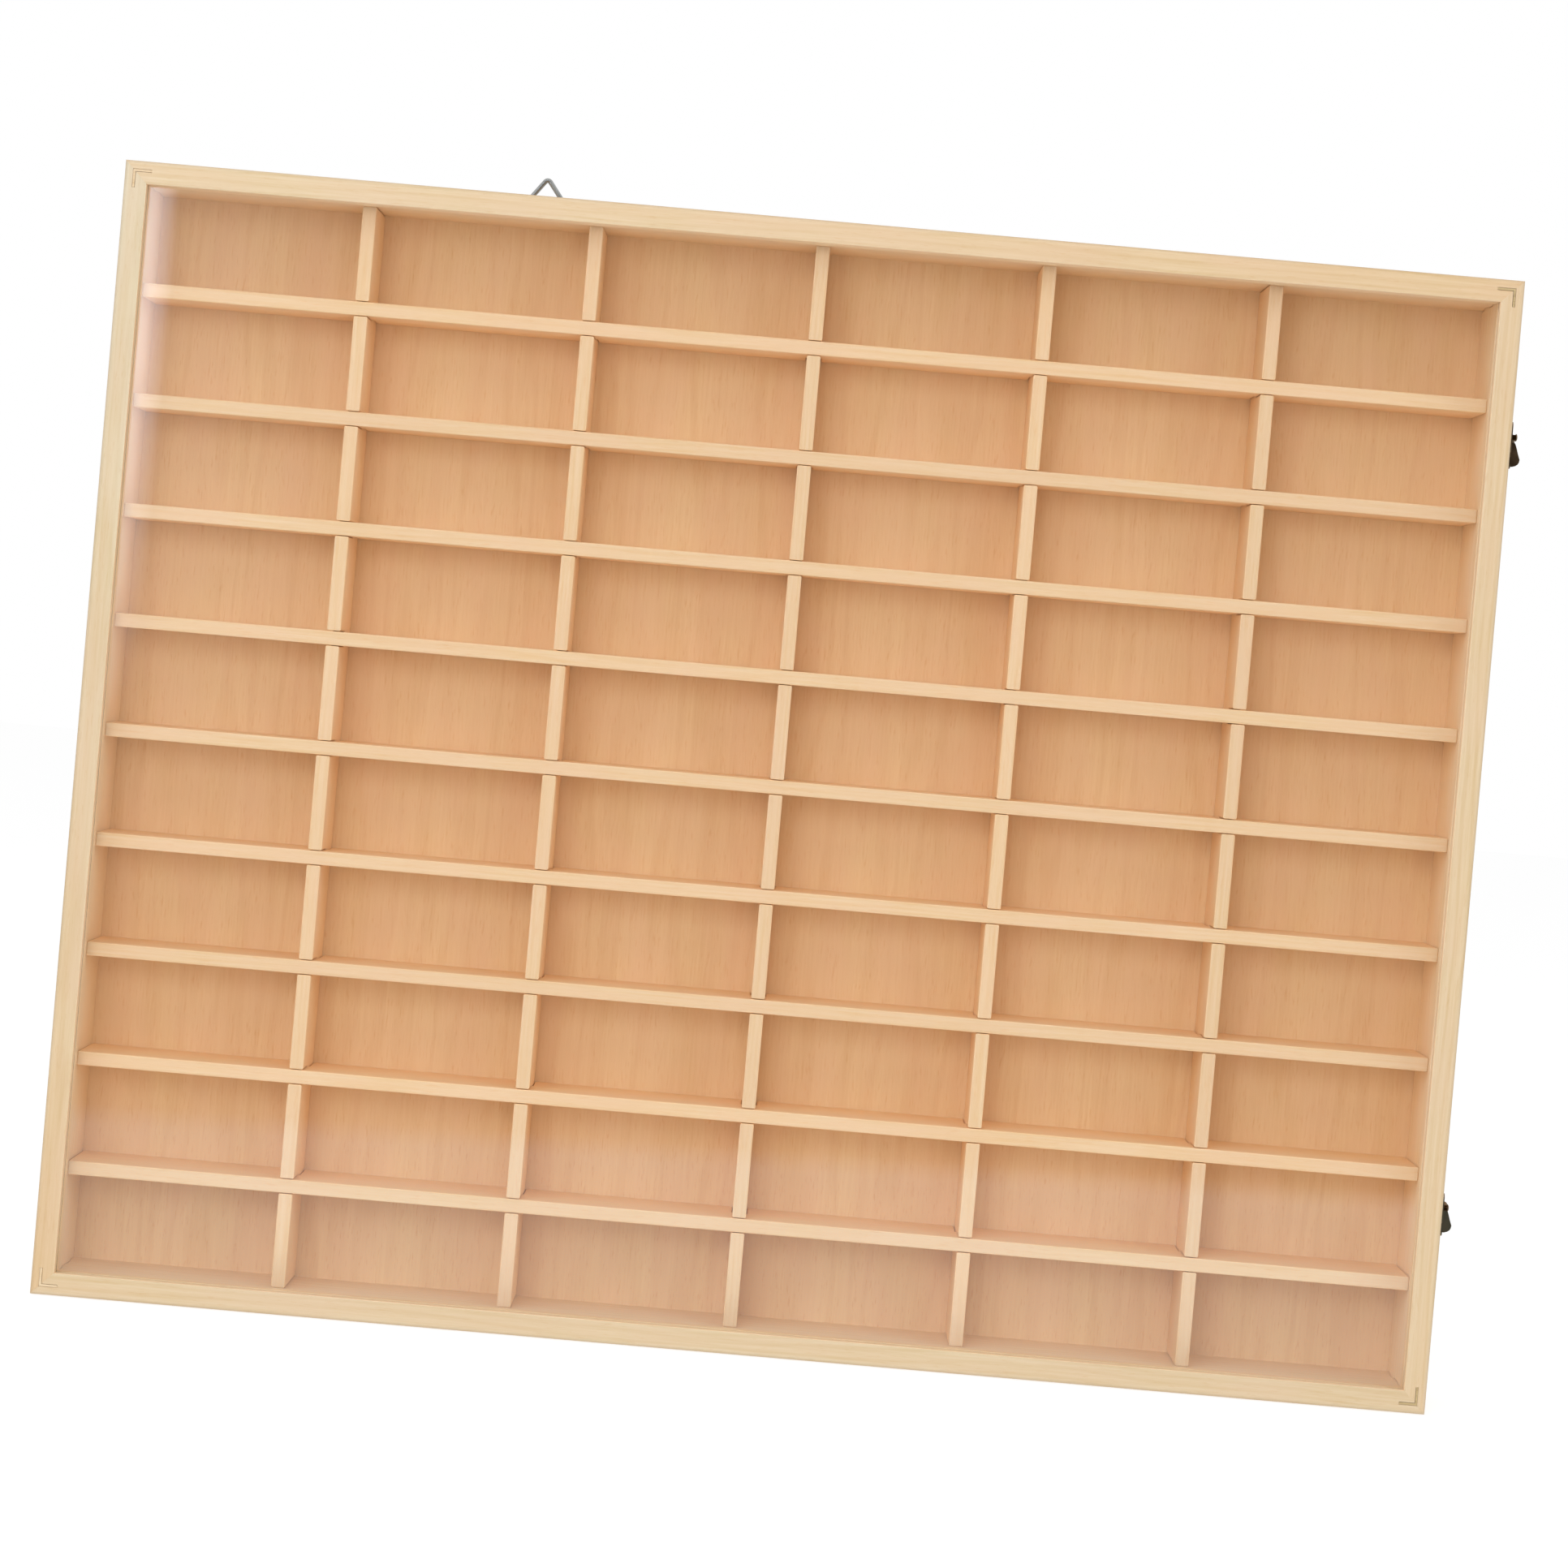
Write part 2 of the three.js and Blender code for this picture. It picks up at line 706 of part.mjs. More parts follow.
function catchPlate() {
  const outline = roundedOutline(
    -catchPlateWidth / 2,
    -catchPlateHeight / 2,
    catchPlateWidth,
    catchPlateHeight,
    catchPlateRound,
  );
  const hole = new THREE.Path();
  hole.absarc(0, 0, studShankRadius + screwGap, 0, 2 * Math.PI, false);
  outline.holes.push(hole);
  return plate(outline, latchPlateThickness, Y, Z);
}

for (const [place, level] of Object.entries(latchLevels)) {
  const onCase = subassembly(caseRight, pivotY, level);
  const onDoor = subassembly(doorRight, studY, level);
  add(`latch_${place}_base`, latchBase(), bronze, undefined, onCase);
  latchBaseScrewPlaces().forEach(([y, z], index) => {
    const head = new THREE.Vector3(latchPlateThickness, y, z);
    const inward = X.clone().negate();
    add(`latch_${place}_base_screw_${index + 1}`, screw(plateScrew, inward), bronze, head, onCase);
  });
  add(`latch_${place}_hook`, latchHook(), bronze, undefined, onCase);
  add(`latch_${place}_catch_plate`, catchPlate(), bronze, undefined, onDoor);
  add(`latch_${place}_catch_stud`, studScrew(), bronze, undefined, onDoor);
}

// Hangers: a strap rolled into an eye, with a triangular wire ring that swings in it

function hangerStrap() {
  const meetY = strapThickness - eyeRadius;
  const meetZ = -Math.sqrt(eyeRadius * eyeRadius - meetY * meetY);
  const outline = new THREE.Shape();
  outline.moveTo(0, 0);
  outline.lineTo(0, -strapLength);
  outline.lineTo(strapThickness, -strapLength);
  outline.lineTo(strapThickness, meetZ);
  outline.absarc(eyeRadius, 0, eyeRadius, Math.atan2(meetZ, meetY), Math.PI, false);
  const bore = new THREE.Path();
  bore.absarc(eyeRadius, 0, eyeBoreRadius, 0, 2 * Math.PI, false);
  outline.holes.push(bore);
  const strap = plate(outline, strapWidth, Y, Z).translate(-strapWidth / 2, 0, 0);
  return cut(strap, [
    screwHole(hangerScrew, Y.clone().negate()).translate(0, strapThickness, -hangerScrewDrop),
  ]);
}

// The middle line of the wire: a triangle on its base, with the three corners rounded.
class RingLine extends THREE.Curve {
  constructor() {
    super();
    const apexHalfAngle = Math.PI / 2 - ringBaseAngle;
    const baseEnd = ringHalfBase - ringCornerRadius / Math.tan(ringBaseAngle / 2);
    const apexCentre = ringHalfBase * Math.tan(ringBaseAngle) - ringApexRadius / Math.sin(apexHalfAngle);
    this.outline = new THREE.Path();
    this.outline.moveTo(0, 0);
    this.outline.lineTo(baseEnd, 0);
    this.outline.absarc(baseEnd, ringCornerRadius, ringCornerRadius, -0.5 * Math.PI, apexHalfAngle);
    this.outline.absarc(0, apexCentre, ringApexRadius, apexHalfAngle, Math.PI - apexHalfAngle);
    this.outline.absarc(-baseEnd, ringCornerRadius, ringCornerRadius, Math.PI - apexHalfAngle, 1.5 * Math.PI);
    this.outline.lineTo(0, 0);
  }

  getPoint(share, target = new THREE.Vector3()) {
    const point = this.outline.getPoint(share);
    return target.set(point.x, 0, point.y);
  }
}

for (const [place, x] of Object.entries(hangerPlaces)) {
  const hanger = subassembly(x, wallPlane, eyeLevel);
  const screwHead = new THREE.Vector3(0, strapThickness, -hangerScrewDrop);
  add(`hanger_${place}_strap`, hangerStrap(), zinc, undefined, hanger);
  add(`hanger_${place}_screw`, screw(hangerScrew, Y.clone().negate()), zinc, screwHead, hanger);
  const wire = new THREE.TubeGeometry(new RingLine(), wireSteps, wireRadius, wireSides, true);
  const ring = add(`hanger_${place}_ring`, wire, zinc, new THREE.Vector3(0, eyeRadius, 0), hanger);
  ring.rotation.x = place === 'left' ? 0 : Math.PI;
}

export default displayCase;
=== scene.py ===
# %% [markdown]
# # A wall display case for small figures
#
# The real case is joinery: four finger-jointed basswood boards, a plywood back, an egg-crate of thin
# slats that makes sixty compartments, and a mitred door with a clear acrylic panel. The construction
# comes packed, piece by piece, and it never moves here. This file gives every piece its finish:
# rounded edges, grain that runs along the plank, plated and stamped hardware, soft studio light.

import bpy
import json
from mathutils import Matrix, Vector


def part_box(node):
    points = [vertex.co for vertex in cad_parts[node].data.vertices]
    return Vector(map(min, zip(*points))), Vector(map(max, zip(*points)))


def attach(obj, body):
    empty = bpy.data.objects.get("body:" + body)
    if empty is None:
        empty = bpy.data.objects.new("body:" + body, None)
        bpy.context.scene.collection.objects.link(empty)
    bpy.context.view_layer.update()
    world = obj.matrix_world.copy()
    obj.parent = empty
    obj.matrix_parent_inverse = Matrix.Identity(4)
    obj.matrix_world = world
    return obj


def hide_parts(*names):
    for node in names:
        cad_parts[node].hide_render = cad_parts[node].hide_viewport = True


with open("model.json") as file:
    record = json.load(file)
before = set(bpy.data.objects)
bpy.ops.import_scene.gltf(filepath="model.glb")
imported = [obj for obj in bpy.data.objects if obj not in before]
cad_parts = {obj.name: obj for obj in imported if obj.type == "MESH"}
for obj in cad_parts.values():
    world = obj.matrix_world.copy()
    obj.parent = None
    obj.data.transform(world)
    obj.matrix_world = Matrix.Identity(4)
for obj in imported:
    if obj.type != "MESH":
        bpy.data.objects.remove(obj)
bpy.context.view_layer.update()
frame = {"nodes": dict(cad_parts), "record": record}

# %% [markdown]
# ## Measures and small helpers
#
# Blender counts in metres and a joiner in millimetres, so sizes are written as a number times MM.
# Screen colours are encoded; `linear` decodes a hex value, because light adds up in linear numbers.

# %% Measures, colours and nodes
import json
import math

import bmesh
import bpy
import numpy as np
from mathutils import Matrix, Vector

MM = 0.001
X, Y, Z = Vector((1, 0, 0)), Vector((0, 1, 0)), Vector((0, 0, 1))
BODY_OF = {node: body for body, nodes in frame["record"]["behaviour"]["bodies"].items() for node in nodes}


def linear(code):
    """An sRGB hex colour as linear red, green, blue and alpha."""
    shares = [int(code[place:place + 2], 16) / 255 for place in (1, 3, 5)]
    return (*[s / 12.92 if s <= 0.04045 else ((s + 0.055) / 1.055) ** 2.4 for s in shares], 1)


def add(tree, kind, inputs=None, **settings):
    """Adds a node. An input is a value, an output of another node, or a node for its first output."""
    node = tree.nodes.new(kind)
    for name, value in settings.items():
        setattr(node, name, value)
    for socket, value in (inputs or {}).items():
        if isinstance(value, bpy.types.Node):
            value = next(output for output in value.outputs if output.enabled)
        if isinstance(value, bpy.types.NodeSocket):
            tree.links.new(value, node.inputs[socket])
        else:
            node.inputs[socket].default_value = value
    return node


def middle(node):
    """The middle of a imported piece."""
    low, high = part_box(node)
    return (low + high) / 2


CASE_LOW, CASE_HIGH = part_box("case_left_side")[0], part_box("case_right_side")[1]
DOOR_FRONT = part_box("door_top_rail")[0].y
WALL = CASE_HIGH.y
CASE_WIDTH, CASE_HEIGHT = CASE_HIGH.x - CASE_LOW.x, CASE_HIGH.z - CASE_LOW.z
print("case:", [round(size / MM, 1) for size in (CASE_WIDTH, WALL - DOOR_FRONT, CASE_HEIGHT)], "mm")

# %% [markdown]
# ## Camera
#
# The case is seen from straight in front and a little above, with a long lens, and the picture is
# turned by five degrees. The lens follows from the distance and from how many pixels a millimetre
# takes on the door. A small shift then brings the middle of the door to its place in the picture.

# %% Camera
# The first three count pixels of the square picture; distances are in metres
PICTURE = 1932
PIXELS_PER_MM = 3.455
DOOR_MIDDLE_PIXEL = (956.5, 971.2)
DISTANCE = 1.6
ABOVE_MIDDLE = 0.040
PITCH = math.radians(0.75)
ROLL = math.radians(4.97)

door_middle = Vector((0, DOOR_FRONT, CASE_HEIGHT / 2))
camera = bpy.data.objects.new("camera", bpy.data.cameras.new("camera"))
bpy.context.scene.collection.objects.link(camera)
bpy.context.scene.camera = camera
forward = Vector((0, math.cos(PITCH), -math.sin(PITCH)))
upright = Vector((0, math.sin(PITCH), math.cos(PITCH)))
up = Matrix.Rotation(-ROLL, 3, forward) @ upright
turn = Matrix((forward.cross(up), up, -forward)).transposed()
camera.matrix_world = Matrix.Translation(door_middle + Vector((0, -DISTANCE, ABOVE_MIDDLE))) @ turn.to_4x4()
seen = camera.matrix_world.inverted() @ door_middle
focal_pixels = PIXELS_PER_MM / MM * -seen.z
camera.data.lens = camera.data.sensor_width * focal_pixels / PICTURE
camera.data.shift_x = 0.5 + focal_pixels * seen.x / -seen.z / PICTURE - DOOR_MIDDLE_PIXEL[0] / PICTURE
camera.data.shift_y = DOOR_MIDDLE_PIXEL[1] / PICTURE - 0.5 + focal_pixels * seen.y / -seen.z / PICTURE
shifts = [round(shift, 4) for shift in (camera.data.shift_x, camera.data.shift_y)]
print("lens", round(camera.data.lens, 1), "mm, shift", shifts)

# %% [markdown]
# ## Wood
#
# Basswood is pale, even and fine: growth bands that can hardly be told, short fibres, tiny flecks
# and, on a sawn end, darker pores. A flat picture of wood would run the same way on every board, so
# the pattern here is solid. It reads the attribute `grain`, which says where each point lay in the
# plank that the piece was sawn from, x along the fibres. Sanding rounds and pales the edges, which
# the attribute `worn` marks. The attribute `tone` makes one board a little darker than the next.
# One mark tells which faces look out of the compartments, and the wood paints them darker: painted shade,
# against which the faces inside the compartments read lighter than the lamps leave them. Another paints a
# cool, pale wash of window light over the front of the door, which is painted light.

# %% Noise, layers and materials
def stretched_noise(tree, vector, grain_size, **sockets):
    """Noise whose grains have a real size along each axis."""
    placed = add(tree, "ShaderNodeMapping", {"Vector": vector, "Scale": [1 / size for size in grain_size]})
    return add(tree, "ShaderNodeTexNoise", {"Vector": placed, "Scale": 1.0, **sockets})


def layered(tree, colour, *layers):
    """Lays colours over the first one in turn. Each layer is a way to blend, a share and a colour."""
    for blend_type, share, over in layers:
        # A Mix node has several pairs of sockets called A and B; the pair for colours is 6 and 7
        sockets = {"Factor": share, 6: colour, 7: over}
        colour = add(tree, "ShaderNodeMix", sockets, data_type="RGBA", blend_type=blend_type)
    return colour


def new_material(name):
    material = bpy.data.materials.new(name)
    material.use_nodes = True
    material.node_tree.nodes.clear()
    return material, material.node_tree


print("ready to mix materials")

# %% Sanded wood
# Sizes of the pattern along the fibres, across them, and through the plank. Real fibres and pores are
# finer than a tenth of a millimetre, which wouldn't show, so they are drawn as coarse as they need to be
FIBRE = (28 * MM, 0.8 * MM, 0.8 * MM)
FLECK = (4.5 * MM, 0.45 * MM, 0.45 * MM)
PORE = (60 * MM, 0.35 * MM, 0.35 * MM)
BLUSH = (42 * MM, 16 * MM, 16 * MM)
SWAY = (160 * MM, 22 * MM, 22 * MM)
PITH_AWAY = 61 * MM
SWAY_TURNS = 5.0
BLUSH_SHARE = 0.55
END_GRAIN_SHARE = 0.75
WORN_SHARE = 0.22
DARKEST_BOARD, PALEST_BOARD = 0.955, 1.03
FLECK_SINKS = 0.5
FIBRE_RELIEF = 0.06 * MM
SMOOTHER, ROUGHER = -0.06, 0.08
# What a piece tells its wood beside its grain; end_grain marks the faces sawn across the fibres
MARKS = ("end_grain", "worn", "tone", "aged", "bleached")


def sanded_wood(
        name, early, late, blush, end, band_width, band_share, fleck_share, roughness,
        aged="#EEEBEA", bleached="#DCE6EC"):
    """Solid sawn wood: early and late are the two colours of a growth ring, blush its broad rosy clouds."""
    material, tree = new_material(name)
    grain = add(tree, "ShaderNodeAttribute", attribute_name="grain").outputs["Vector"]
    marks = {mark: add(tree, "ShaderNodeAttribute", attribute_name=mark).outputs["Fac"] for mark in MARKS}
    fibre = stretched_noise(tree, grain, FIBRE, Detail=4.0, Roughness=0.6)
    flecks = stretched_noise(tree, grain, FLECK, Detail=2.0)
    pores = stretched_noise(tree, grain, PORE, Detail=2.0, Roughness=0.7)
    clouds = stretched_noise(tree, grain, BLUSH, Detail=3.0, Roughness=0.55)
    sway = stretched_noise(tree, grain, SWAY, Detail=2.0)
    # Noise seldom leaves the middle of its range, so it is stretched before it is used
    fleck, pore, cloud = (
        add(tree, "ShaderNodeMapRange", {"Value": noise, "From Min": low, "From Max": high})
        for noise, low, high in ((flecks, 0.60, 0.72), (pores, 0.35, 0.65), (clouds, 0.35, 0.65)))

    # Growth rings are cylinders around a pith that lies outside the board, pushed about by the sway
    axes = add(tree, "ShaderNodeSeparateXYZ", {"Vector": grain}).outputs
    squares = []
    for axis in "YZ":
        away = add(tree, "ShaderNodeMath", {0: axes[axis], 1: PITH_AWAY}, operation="ADD")
        squares.append(add(tree, "ShaderNodeMath", {0: away, 1: away}, operation="MULTIPLY"))
    squared = add(tree, "ShaderNodeMath", dict(enumerate(squares)), operation="ADD")
    radius = add(tree, "ShaderNodeMath", {0: squared}, operation="SQRT")
    rings_passed = add(tree, "ShaderNodeMath", {0: radius, 1: 1 / band_width}, operation="MULTIPLY")
    swayed = add(tree, "ShaderNodeMath", {0: sway, 1: SWAY_TURNS}, operation="MULTIPLY")
    turns = add(tree, "ShaderNodeMath", {0: rings_passed, 1: swayed}, operation="ADD")
    angle = add(tree, "ShaderNodeMath", {0: turns, 1: math.tau}, operation="MULTIPLY")
    swing = add(tree, "ShaderNodeMath", {0: angle}, operation="SINE")
    ring = add(tree, "ShaderNodeMapRange", {"Value": swing, "From Min": -0.2, "From Max": 1.0})

    fibre_share = add(tree, "ShaderNodeMapRange", {
        "Value": fibre, "From Min": 0.3, "From Max": 0.7, "To Max": 1 - band_share,
    })
    # Each mark is weakened to the share that it may take at its strongest
    banded, blushed, flecked, cut_across, worn, sunk = (
        add(tree, "ShaderNodeMath", {0: mark, 1: share}, operation="MULTIPLY")
        for mark, share in (
            (ring, band_share), (cloud, BLUSH_SHARE), (fleck, fleck_share),
            (marks["end_grain"], END_GRAIN_SHARE), (marks["worn"], WORN_SHARE), (fleck, FLECK_SINKS)))
    late_share = add(tree, "ShaderNodeMath", {0: banded, 1: fibre_share}, operation="ADD")
    # A single number that is used as a colour counts as a grey
    tone = add(tree, "ShaderNodeMapRange", {
        "Value": marks["tone"], "From Min": -1.0, "To Min": DARKEST_BOARD, "To Max": PALEST_BOARD,
    })
    sawn = layered(tree, linear(end), ("MIX", pore, linear(late)))
    # Faces outside the compartments are multiplied by a darker colour, which is painted shade; on the
    # door's front a cool pale colour is mixed into it, which is painted daylight
    painted_dim_and_daylight = layered(tree, linear(aged), ("MIX", marks["bleached"], linear(bleached)))
    colour = layered(
        tree, linear(early), ("MIX", late_share, linear(late)), ("MIX", blushed, linear(blush)),
        ("MULTIPLY", flecked, linear(late)), ("MIX", cut_across, sawn), ("MULTIPLY", 1.0, tone),
        ("MIX", worn, linear(early)), ("MULTIPLY", marks["aged"], painted_dim_and_daylight))

    relief = add(tree, "ShaderNodeMath", {0: fibre, 1: sunk}, operation="SUBTRACT")
    bump = add(tree, "ShaderNodeBump", {"Height": relief, "Strength": 0.35, "Distance": FIBRE_RELIEF})
    shine = add(tree, "ShaderNodeMapRange", {
        "Value": fibre, "From Min": 0.25, "From Max": 0.75,
        "To Min": roughness + SMOOTHER, "To Max": roughness + ROUGHER,
    })
    shader = add(tree, "ShaderNodeBsdfPrincipled", {
        "Base Color": colour, "Roughness": shine, "Specular IOR Level": 0.32, "Normal": bump,
    })
    add(tree, "ShaderNodeOutputMaterial", {"Surface": shader})
    return material


print("a growth ring's pith lies", round(math.hypot(PITH_AWAY, PITH_AWAY) / MM), "mm away")

# %% The woods of the case
# Planed and sanded basswood, left raw: matt, creamy, nearly without figure
board_wood = sanded_wood(
    "basswood_boards_planed", early="#FAE3C0", late="#F2D3A6", blush="#F8DCBC", end="#E0C392",
    band_width=2.6 * MM, band_share=0.35, fleck_share=0.20, roughness=0.52, aged="#E6E2DD")
# The faces of the door frame that look out of the compartments are painted a shade darker than the
# boards behind it, which is painted shade. A cool pale wash of window light is painted unevenly over its
# front
frame_wood = sanded_wood(
    "basswood_frame_sanded", early="#FAE3C0", late="#EBCD9F", blush="#F8DABA", end="#DEBE8F",
    band_width=2.4 * MM, band_share=0.35, fleck_share=0.20, roughness=0.50, aged="#DCD4C8")
# Filler over the corner wedges: at the left it hides the steel, at the right it has browned over it
pale_filler = sanded_wood(
    "filler_sanded_over_steel", early="#DAC4A2", late="#CCB086", blush="#D6BB9B", end="#CCB086",
    band_width=3 * MM, band_share=0.20, fleck_share=0.30, roughness=0.60)
brown_filler = sanded_wood(
    "filler_browned_over_steel", early="#C4AC80", late="#A28D66", blush="#B59D70", end="#A28D66",
    band_width=3 * MM, band_share=0.30, fleck_share=0.40, roughness=0.55)
# The slats are cut from thinner stock of the same wood, warmer and a little fuzzier from the saw
slat_wood = sanded_wood(
    "basswood_slats_cut_thin", early="#FADBB2", late="#F3CC99", blush="#F9D3AD", end="#DDB47E",
    band_width=1.9 * MM, band_share=0.30, fleck_share=0.22, roughness=0.58)
# Rotary-cut veneer on three plies: broad lazy figure, since the knife peels the log round and round
plywood = sanded_wood(
    "basswood_plywood_rotary_cut", early="#F0D0A3", late="#E7C192", blush="#EFC9A2", end="#C99A66",
    band_width=15 * MM, band_share=0.45, fleck_share=0.30, roughness=0.60)
woods = (board_wood, frame_wood, pale_filler, brown_filler, slat_wood, plywood)
print("woods:", [wood.name for wood in woods])

# %% [markdown]
# ## Metal and acrylic
#
# The hinges and latches are stamped steel with an antique bronze finish: a dark lacquered brown that
# rubs through to brass on the edges. The hangers are zinc plated, which is grey and faintly cloudy.
# Cast acrylic is clearer than window glass; a lamp shines straight through it, so shadow and diffuse
# rays skip the refraction, and a slow wave in its surface keeps reflections alive.

# %% Metal and acrylic materials
# The scratches of handling are finer than this, and are drawn just coarse enough to show
SCRATCH = 0.5 * MM
CLOUD = 6 * MM
PLATING_RELIEF = 0.02 * MM
WAVE = 70 * MM
WAVE_RELIEF = 0.1 * MM


def plated_metal(name, base, rubbed, cloud_share, roughness, rub_share):
    """Metal whose colour is clouded by its plating and rubbed bright where its edges are worn."""
    material, tree = new_material(name)
    place = add(tree, "ShaderNodeTexCoord").outputs["Object"]
    clouds = add(tree, "ShaderNodeTexNoise", {"Vector": place, "Scale": 1 / CLOUD, "Detail": 4.0})
    scratches = add(tree, "ShaderNodeTexNoise", {"Vector": place, "Scale": 1 / SCRATCH, "Detail": 3.0})
    clouded = add(tree, "ShaderNodeMapRange", {
        "Value": clouds, "From Min": 0.3, "From Max": 0.7,
        "To Min": 1 - cloud_share, "To Max": 1 + cloud_share,
    })
    patchy = add(tree, "ShaderNodeMapRange", {
        "Value": scratches, "From Min": 0.35, "From Max": 0.6, "To Min": 0.2,
    })
    worn = add(tree, "ShaderNodeAttribute", attribute_name="worn").outputs["Fac"]
    rub = add(tree, "ShaderNodeMath", {0: worn, 1: patchy}, operation="MULTIPLY")
    bared = add(tree, "ShaderNodeMath", {0: rub, 1: rub_share}, operation="MULTIPLY")
    colour = layered(tree, linear(base), ("MULTIPLY", 1.0, clouded), ("MIX", bared, linear(rubbed)))
    bump = add(tree, "ShaderNodeBump", {"Height": scratches, "Strength": 0.3, "Distance": PLATING_RELIEF})
    shine = add(tree, "ShaderNodeMapRange", {
        "Value": clouds, "From Min": 0.3, "From Max": 0.7,
        "To Min": roughness + SMOOTHER, "To Max": roughness + ROUGHER,
    })
    shader = add(tree, "ShaderNodeBsdfPrincipled", {
        "Base Color": colour, "Metallic": 1.0, "Roughness": shine, "Normal": bump,
    })
    add(tree, "ShaderNodeOutputMaterial", {"Surface": shader})
    return material


# Antique bronze on stamped steel: brown-black, satin, brassy where fingers rub it
bronze = plated_metal("antique_bronze_stamped", "#7D634A", "#B8955F", 0.18, 0.42, 0.50)
# Bright zinc on steel: cool grey with a faint bloom
zinc = plated_metal("zinc_plated_steel", "#A3A4A2", "#C9C9C6", 0.10, 0.34, 0.50)

# Cast acrylic: water clear, with a wave of a few centimetres that only reflections show
acrylic, acrylic_tree = new_material("cast_acrylic_clear")
acrylic_place = add(acrylic_tree, "ShaderNodeTexCoord").outputs["Object"]
wave = add(acrylic_tree, "ShaderNodeTexNoise", {"Vector": acrylic_place, "Scale": 1 / WAVE, "Detail": 0.0})
ripple = add(acrylic_tree, "ShaderNodeBump", {"Height": wave, "Strength": 0.25, "Distance": WAVE_RELIEF})
sheet = add(acrylic_tree, "ShaderNodeBsdfPrincipled", {
    "Base Color": linear("#FFFFFF"), "Roughness": 0.0, "IOR": 1.49, "Transmission Weight": 1.0,
    "Normal": ripple,
})
open_sheet = add(acrylic_tree, "ShaderNodeBsdfTransparent", {"Color": linear("#FBFCFC")})
path = add(acrylic_tree, "ShaderNodeLightPath").outputs
lets_through = add(acrylic_tree, "ShaderNodeMath", {
    0: path["Is Shadow Ray"], 1: path["Is Diffuse Ray"],
}, operation="MAXIMUM")
either_sheet = add(acrylic_tree, "ShaderNodeMixShader", {0: lets_through, 1: sheet, 2: open_sheet})
add(acrylic_tree, "ShaderNodeOutputMaterial", {"Surface": either_sheet})
print("metals and sheet:", bronze.name, zinc.name, acrylic.name)

# %% [markdown]
# ## From a sharp solid to a made thing
#
# No real edge is sharp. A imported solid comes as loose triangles, so a copy of it is welded, its flat
# faces are made whole again, and its longer edges are rounded by the radius that sandpaper or a
# stamping die leaves. The new faces are marked as worn, and faces across the fibres as end grain.

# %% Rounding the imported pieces
WELD = 0.002 * MM
FLAT = math.radians(0.6)
SHARP = math.radians(35)
CREASE = math.radians(52)
LONGEST_PLANK = 2.0
ROUNDING_STEPS = 3
# The least cosine at which a face looks squarely along an axis
SQUARELY = 0.9


def store(mesh, name, kind, domain, values):
    """Writes one attribute of a mesh."""
    field = "vector" if kind == "FLOAT_VECTOR" else "value"
    mesh.attributes.new(name, kind, domain).data.foreach_set(field, np.ravel(values).astype(np.float32))


def corners_of(mesh):
    places = np.empty(len(mesh.vertices) * 3, np.float32)
    mesh.vertices.foreach_get("co", places)
    return places.reshape(-1, 3)


def mark_grain(mesh, along, number):
    """Says where the piece lay in its plank, and which faces cut the fibres, which run along X or Z."""
    order = {"X": [0, 1, 2], "Z": [2, 1, 0]}[along]
    luck = np.random.default_rng(number)
    in_plank = corners_of(mesh)[:, order] + luck.uniform(0, LONGEST_PLANK, 3)
    store(mesh, "grain", "FLOAT_VECTOR", "POINT", in_plank)
    store(mesh, "tone", "FLOAT", "POINT", np.full(len(mesh.vertices), luck.uniform(-1, 1)))
    cut_across = [abs(face.normal[order[0]]) > SQUARELY for face in mesh.polygons]
    store(mesh, "end_grain", "FLOAT", "FACE", cut_across)


def rounded_copy(node, radius, steps, least_edge):
    """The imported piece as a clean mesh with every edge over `least_edge` rounded."""
    work = bmesh.new()
    work.from_mesh(frame["nodes"][node].data)
    bmesh.ops.remove_doubles(work, verts=work.verts, dist=WELD)
    bmesh.ops.dissolve_limit(work, angle_limit=FLAT, verts=work.verts, edges=work.edges)
    edges = [e for e in work.edges
             if len(e.link_faces) == 2 and e.calc_face_angle() > SHARP and e.calc_length() > least_edge]
    made = bmesh.ops.bevel(
        work, geom=edges, offset=radius, segments=steps, profile=0.5, affect="EDGES", clamp_overlap=True)
    for face in work.faces:
        face.smooth = True
    worn = set(made["faces"])
    marks = [face in worn for face in work.faces]
    mesh = bpy.data.meshes.new(node)
    work.to_mesh(mesh)
    work.free()
    store(mesh, "worn", "FLOAT", "FACE", marks)
    mesh.set_sharp_from_angle(angle=CREASE)
    return mesh


def place_piece(mesh, name, body, slot, *nodes):
    """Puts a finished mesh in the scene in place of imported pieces, riding on their body."""
    piece = bpy.data.objects.new(name, mesh)
    bpy.context.scene.collection.objects.link(piece)
    steady = piece.modifiers.new("even_normals", "WEIGHTED_NORMAL")
    steady.keep_sharp = True
    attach(piece, body)
    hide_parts(*nodes)
    return piece


def dress(node, name, slot, material, radius, least_edge, steps=ROUNDING_STEPS, along=None, number=0):
    """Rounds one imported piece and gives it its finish."""
    mesh = rounded_copy(node, radius, steps, least_edge)
    if along:
        mark_grain(mesh, along, number)
    mesh.materials.append(material)
    return place_piece(mesh, name, BODY_OF[node], slot, node)


print("edges over", round(math.degrees(SHARP)), "degrees are rounded")

# %% [markdown]
# ## Boards, back and door frame
#
# Boards that lie run their grain along X, boards that stand along Z. The finger joints then show
# end grain and side grain in turn, as they do on the bench. The door members are routed from one
# moulding and mitred, so only their rounded outer edge and the crisp mitre line show.

# %% Boards, back panel and door frame
SANDED = 0.45 * MM
PLY_EDGE = 0.25 * MM
SHEET_EDGE = 0.15 * MM
# Edges shorter than these stay sharp, since a sanding block passes over them
BOARD_LEAST = 4 * MM
MEMBER_LEAST = 15 * MM
PANEL_LEAST = 50 * MM
# Each with the way its grain runs and the direction in which it faces the compartments
BOARDS = {"bottom": ("X", Z), "top": ("X", -Z), "left_side": ("Z", X), "right_side": ("Z", -X)}
